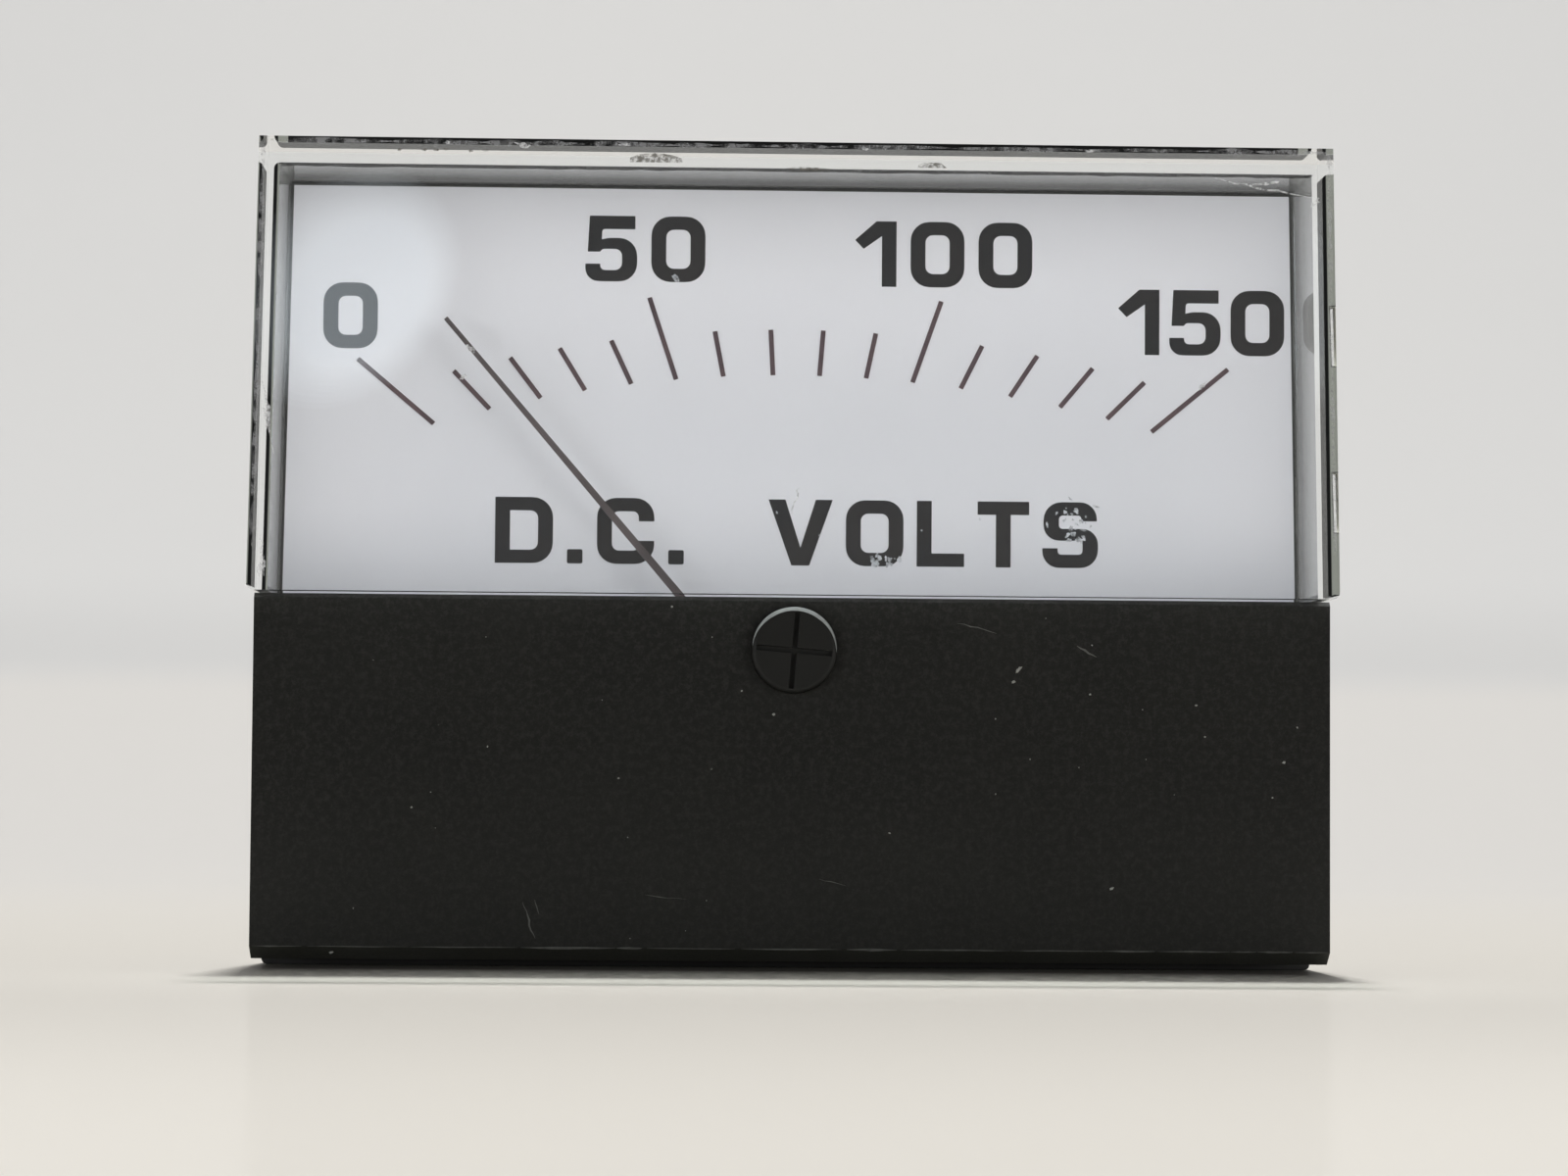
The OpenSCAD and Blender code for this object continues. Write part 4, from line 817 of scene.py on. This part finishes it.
TERMINAL_R, TERMINAL_ROOT, TERMINAL_CREST = 2.2, 0.03, 0.2
TERMINAL_PITCH, TERMINAL_CHAMFER, TERMINAL_SUNK, TERMINAL_OVER = 0.75, 0.5, 0.4, 0.03
posts = bmesh.new()
post_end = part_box("terminal_studs")[1].y / MM
nut_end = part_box("terminal_nuts")[1].y / MM
for x, z in islands("terminal_studs"):
    thread(posts, x, z, nut_end - TERMINAL_SUNK, post_end + TERMINAL_OVER, TERMINAL_R - TERMINAL_ROOT,
           TERMINAL_R + TERMINAL_CREST, TERMINAL_PITCH, TERMINAL_CHAMFER)
keep("terminal_threads", close(posts, "terminal_threads"), "brass", "case")

# Plus sign moulded beside one terminal on the back of the barrel
SIGN_X, SIGN_Z, SIGN_ARM, SIGN_HALF = 14.3, -6.6, 1.7, 0.35
SIGN_Y, SIGN_RISE, SIGN_THICK = 25.0, 0.35, 0.4
arm, cross = [(-SIGN_ARM, -SIGN_HALF), (-SIGN_ARM, SIGN_HALF), (-SIGN_HALF, SIGN_HALF)], []
for _ in range(4):
    cross += [(SIGN_X + x, SIGN_Z + z) for x, z in arm]
    arm = [(z, -x) for x, z in arm]
sign = plate_mesh("plus_sign", [outline(cross)], SIGN_THICK)
sign.transform(Matrix.Translation((0.0, (SIGN_Y + SIGN_RISE) * MM, 0.0)))
keep("plus_sign", sign, "case_black", "case")


# Stage: a table top that sweeps up into the wall behind it, and light

TABLE_TONE, FAR_TABLE_SHADED_TONE = (0.72, 0.69, 0.635), (0.63, 0.613, 0.588)
WALL_TONE = (0.63, 0.625, 0.615)
SWEEP_START, SWEEP_R, SWEEP_STEPS = 0.35, 0.85, 24
SHEET_HALF, SHEET_TOP = 3.0, 2.5
MEET_Z = FLOOR_Z + 0.045
NEAR_PAINTED_LIGHT_SHARE, LINE_SHARE, LINE_LEVEL = 1.22, 0.75, 0.3
SHEEN_LEVEL, SHEEN_POWER = 0.08, 6.0


def sweep():
    """One sheet: level table, a wide curve and the wall."""
    profile = [(-SHEET_HALF, FLOOR_Z), (-1.0, FLOOR_Z), (0.0, FLOOR_Z)]
    for step in range(SWEEP_STEPS + 1):
        angle = math.radians(90.0 * step / SWEEP_STEPS)
        profile.append((SWEEP_START + SWEEP_R * math.sin(angle), FLOOR_Z + SWEEP_R * (1.0 - math.cos(angle))))
    profile.append((SWEEP_START + SWEEP_R, SHEET_TOP))
    work = bmesh.new()
    rows = [[work.verts.new((SHEET_HALF * part, y, z)) for part in (-1.0, -0.5, 0.0, 0.5, 1.0)]
            for y, z in profile]
    skin(work, rows, smooth=True)
    mesh = bpy.data.meshes.new("stage_sweep")
    work.to_mesh(mesh)
    work.free()
    made = bpy.data.objects.new("stage_sweep", mesh)
    scene.collection.objects.link(made)
    made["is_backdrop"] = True
    return made


def sweep_look():
    """The table's tone low down, paler towards the front and darker behind the object as painted light and
    shade, the wall's above it, and a soft darker line where the two meet.
    """
    made, tree = new_tree("table and wall")
    coords = own_place(tree)
    axes = split(tree, coords)
    soft = noise(tree, coords, 5.0)
    wall = mix(tree, soft, rgba(WALL_TONE), dimmed(WALL_TONE, 0.97))
    table = mix(tree, soft, rgba(TABLE_TONE), dimmed(TABLE_TONE, 0.975))
    # Painted light and shade: paler towards the front, and darker and greyer behind the object
    near = spread(tree, axes["Y"], -0.2, -0.05, 0.0, 1.0)
    table = mix(tree, near, dimmed(TABLE_TONE, NEAR_PAINTED_LIGHT_SHARE), table)
    far = spread(tree, axes["Y"], 0.0, 0.45, 0.0, 1.0)
    table = mix(tree, far, table, rgba(FAR_TABLE_SHADED_TONE))
    rise = spread(tree, axes["Z"], MEET_Z - 0.006, MEET_Z + 0.004, 0.0, 1.0)
    fall = spread(tree, axes["Z"], MEET_Z + 0.004, MEET_Z + 0.03, 1.0, 0.0)
    faint = calc(tree, "MULTIPLY", calc(tree, "MULTIPLY", rise, fall), LINE_LEVEL)
    tone = mix(tree, faint, mix(tree, rise, table, wall), dimmed(WALL_TONE, LINE_SHARE))
    gloss = spread(tree, noise(tree, coords, 60.0), 0.3, 0.7, 0.1, 0.14)
    matt = node(tree, "ShaderNodeBsdfDiffuse", {"Color": tone}).outputs["BSDF"]
    sheen = node(tree, "ShaderNodeBsdfGlossy", {"Color": rgba((1.0, 1.0, 1.0)), "Roughness": gloss})
    graze = node(tree, "ShaderNodeLayerWeight", {"Blend": 0.5}).outputs["Facing"]
    level = calc(tree, "MULTIPLY", calc(tree, "POWER", graze, SHEEN_POWER),
                 spread(tree, rise, 0.0, 1.0, SHEEN_LEVEL, 0.0))
    shader = node(tree, "ShaderNodeMixShader", {0: level, 1: matt, 2: sheen.outputs["BSDF"]})
    return surfaced(made, tree, shader.outputs["Shader"])


sweep().data.materials.append(sweep_look())


def lamp(name, place, aim, power, wide, high, colour=(1.0, 1.0, 1.0), shape="RECTANGLE", turn=0.0):
    """Soft area lamp at place, facing aim, turned in its own plane by turn degrees."""
    data = bpy.data.lights.new(name, "AREA")
    data.shape = shape
    data.size, data.size_y = wide, high
    data.energy = power
    data.color = colour
    made = bpy.data.objects.new(name, data)
    made.location = place
    made.rotation_mode = "QUATERNION"
    facing = (Vector(aim) - Vector(place)).to_track_quat("-Z", "Y")
    made.rotation_quaternion = facing @ Quaternion((0.0, 0.0, 1.0), math.radians(turn))
    scene.collection.objects.link(made)


MIDDLE = (0.0, 0.0, 0.0)
lamp("lamp_left", (-0.85, -1.1, 0.05), MIDDLE, 2.65, 0.7, 0.15, (0.96, 0.98, 1.0))
lamp("lamp_right", (0.85, -1.1, 0.05), MIDDLE, 2.5, 0.7, 0.15, (1.0, 0.985, 0.96))
lamp("lamp_top", (0.03, 0.75, 2.0), MIDDLE, 41.0, 0.14, 0.12)

# The soft glint in the window's upper left: a lamp of nested rings, each wider and a little further back
GLINT_AT, GLINT_AIM, GLINT_TINT = (-0.113, -1.0, 0.150), (-0.0357, -0.0157, 0.0209), (0.84, 0.93, 1.0)
GLINT_LEVEL, GLINT_RINGS, GLINT_TURN = 0.29, 12, 50.0
GLINT_WIDE, GLINT_WIDER, GLINT_HIGH, GLINT_HIGHER = 0.038, 0.0047, 0.027, 0.0038
GLINT_BACK, GLINT_ASIDE, GLINT_MEAN_HIGH = 0.006, 0.35, 0.048
for ring in range(GLINT_RINGS):
    wide, high = GLINT_WIDE + GLINT_WIDER * ring, GLINT_HIGH + GLINT_HIGHER * ring
    aside, turn = GLINT_ASIDE * (high - GLINT_MEAN_HIGH), math.radians(GLINT_TURN)
    place = (GLINT_AT[0] - aside * math.sin(turn), GLINT_AT[1] - GLINT_BACK * ring,
             GLINT_AT[2] + aside * math.cos(turn))
    power = GLINT_LEVEL * math.pi * math.pi * wide * high / 4.0
    lamp("lamp_glint_%d" % ring, place, GLINT_AIM, power, wide, high, GLINT_TINT, "ELLIPSE", GLINT_TURN)

# Room: dim, paler behind the object and overhead, and pale where it is seen straight or through the window
ROOM_DIM, ROOM_LIT, ROOM_SEEN = (0.03, 0.03, 0.03), (0.08, 0.08, 0.08), (0.72, 0.71, 0.69)
world = bpy.data.worlds.new("soft room")
world.use_nodes = True
sky = world.node_tree
sky.nodes.clear()
heading = split(sky, node(sky, "ShaderNodeTexCoord").outputs["Generated"])
toward = calc(sky, "ADD", heading["Y"], calc(sky, "MULTIPLY", heading["Z"], 0.9))
room = mix(sky, spread(sky, toward, -0.75, 0.5, 0.0, 1.0), rgba(ROOM_DIM), rgba(ROOM_LIT))
rays = node(sky, "ShaderNodeLightPath").outputs
seen = calc(sky, "MAXIMUM", rays["Is Camera Ray"], rays["Is Transmission Ray"])
back = node(sky, "ShaderNodeBackground", {"Color": mix(sky, seen, room, rgba(ROOM_SEEN)), "Strength": 1.0})
sky.links.new(back.outputs["Background"], node(sky, "ShaderNodeOutputWorld").inputs["Surface"])
scene.world = world

# Camera fitted to the photo
CAM_AT = (-0.011125, -0.345, -0.020869)
CAM_TURN, CAM_RISE, CAM_ROLL = math.radians(1.7765), math.radians(3.1066), math.radians(0.4233)
SENSOR_WIDE, FOCAL, CLIP_START = 36.0, 93.3, 0.01
ahead = Vector((math.sin(CAM_TURN) * math.cos(CAM_RISE), math.cos(CAM_TURN) * math.cos(CAM_RISE),
                math.sin(CAM_RISE)))
side = Vector((math.cos(CAM_TURN), -math.sin(CAM_TURN), 0.0))
over = side.cross(ahead)
right = math.cos(CAM_ROLL) * side + math.sin(CAM_ROLL) * over
up = math.cos(CAM_ROLL) * over - math.sin(CAM_ROLL) * side
lens = bpy.data.cameras.new("camera")
lens.sensor_width = SENSOR_WIDE
lens.lens = FOCAL
lens.clip_start = CLIP_START
camera = bpy.data.objects.new("camera", lens)
camera.matrix_world = Matrix((right, up, -ahead)).transposed().to_4x4()
camera.location = CAM_AT
scene.collection.objects.link(camera)
scene.camera = camera
scene.view_settings.view_transform = "Standard"

low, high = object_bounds()
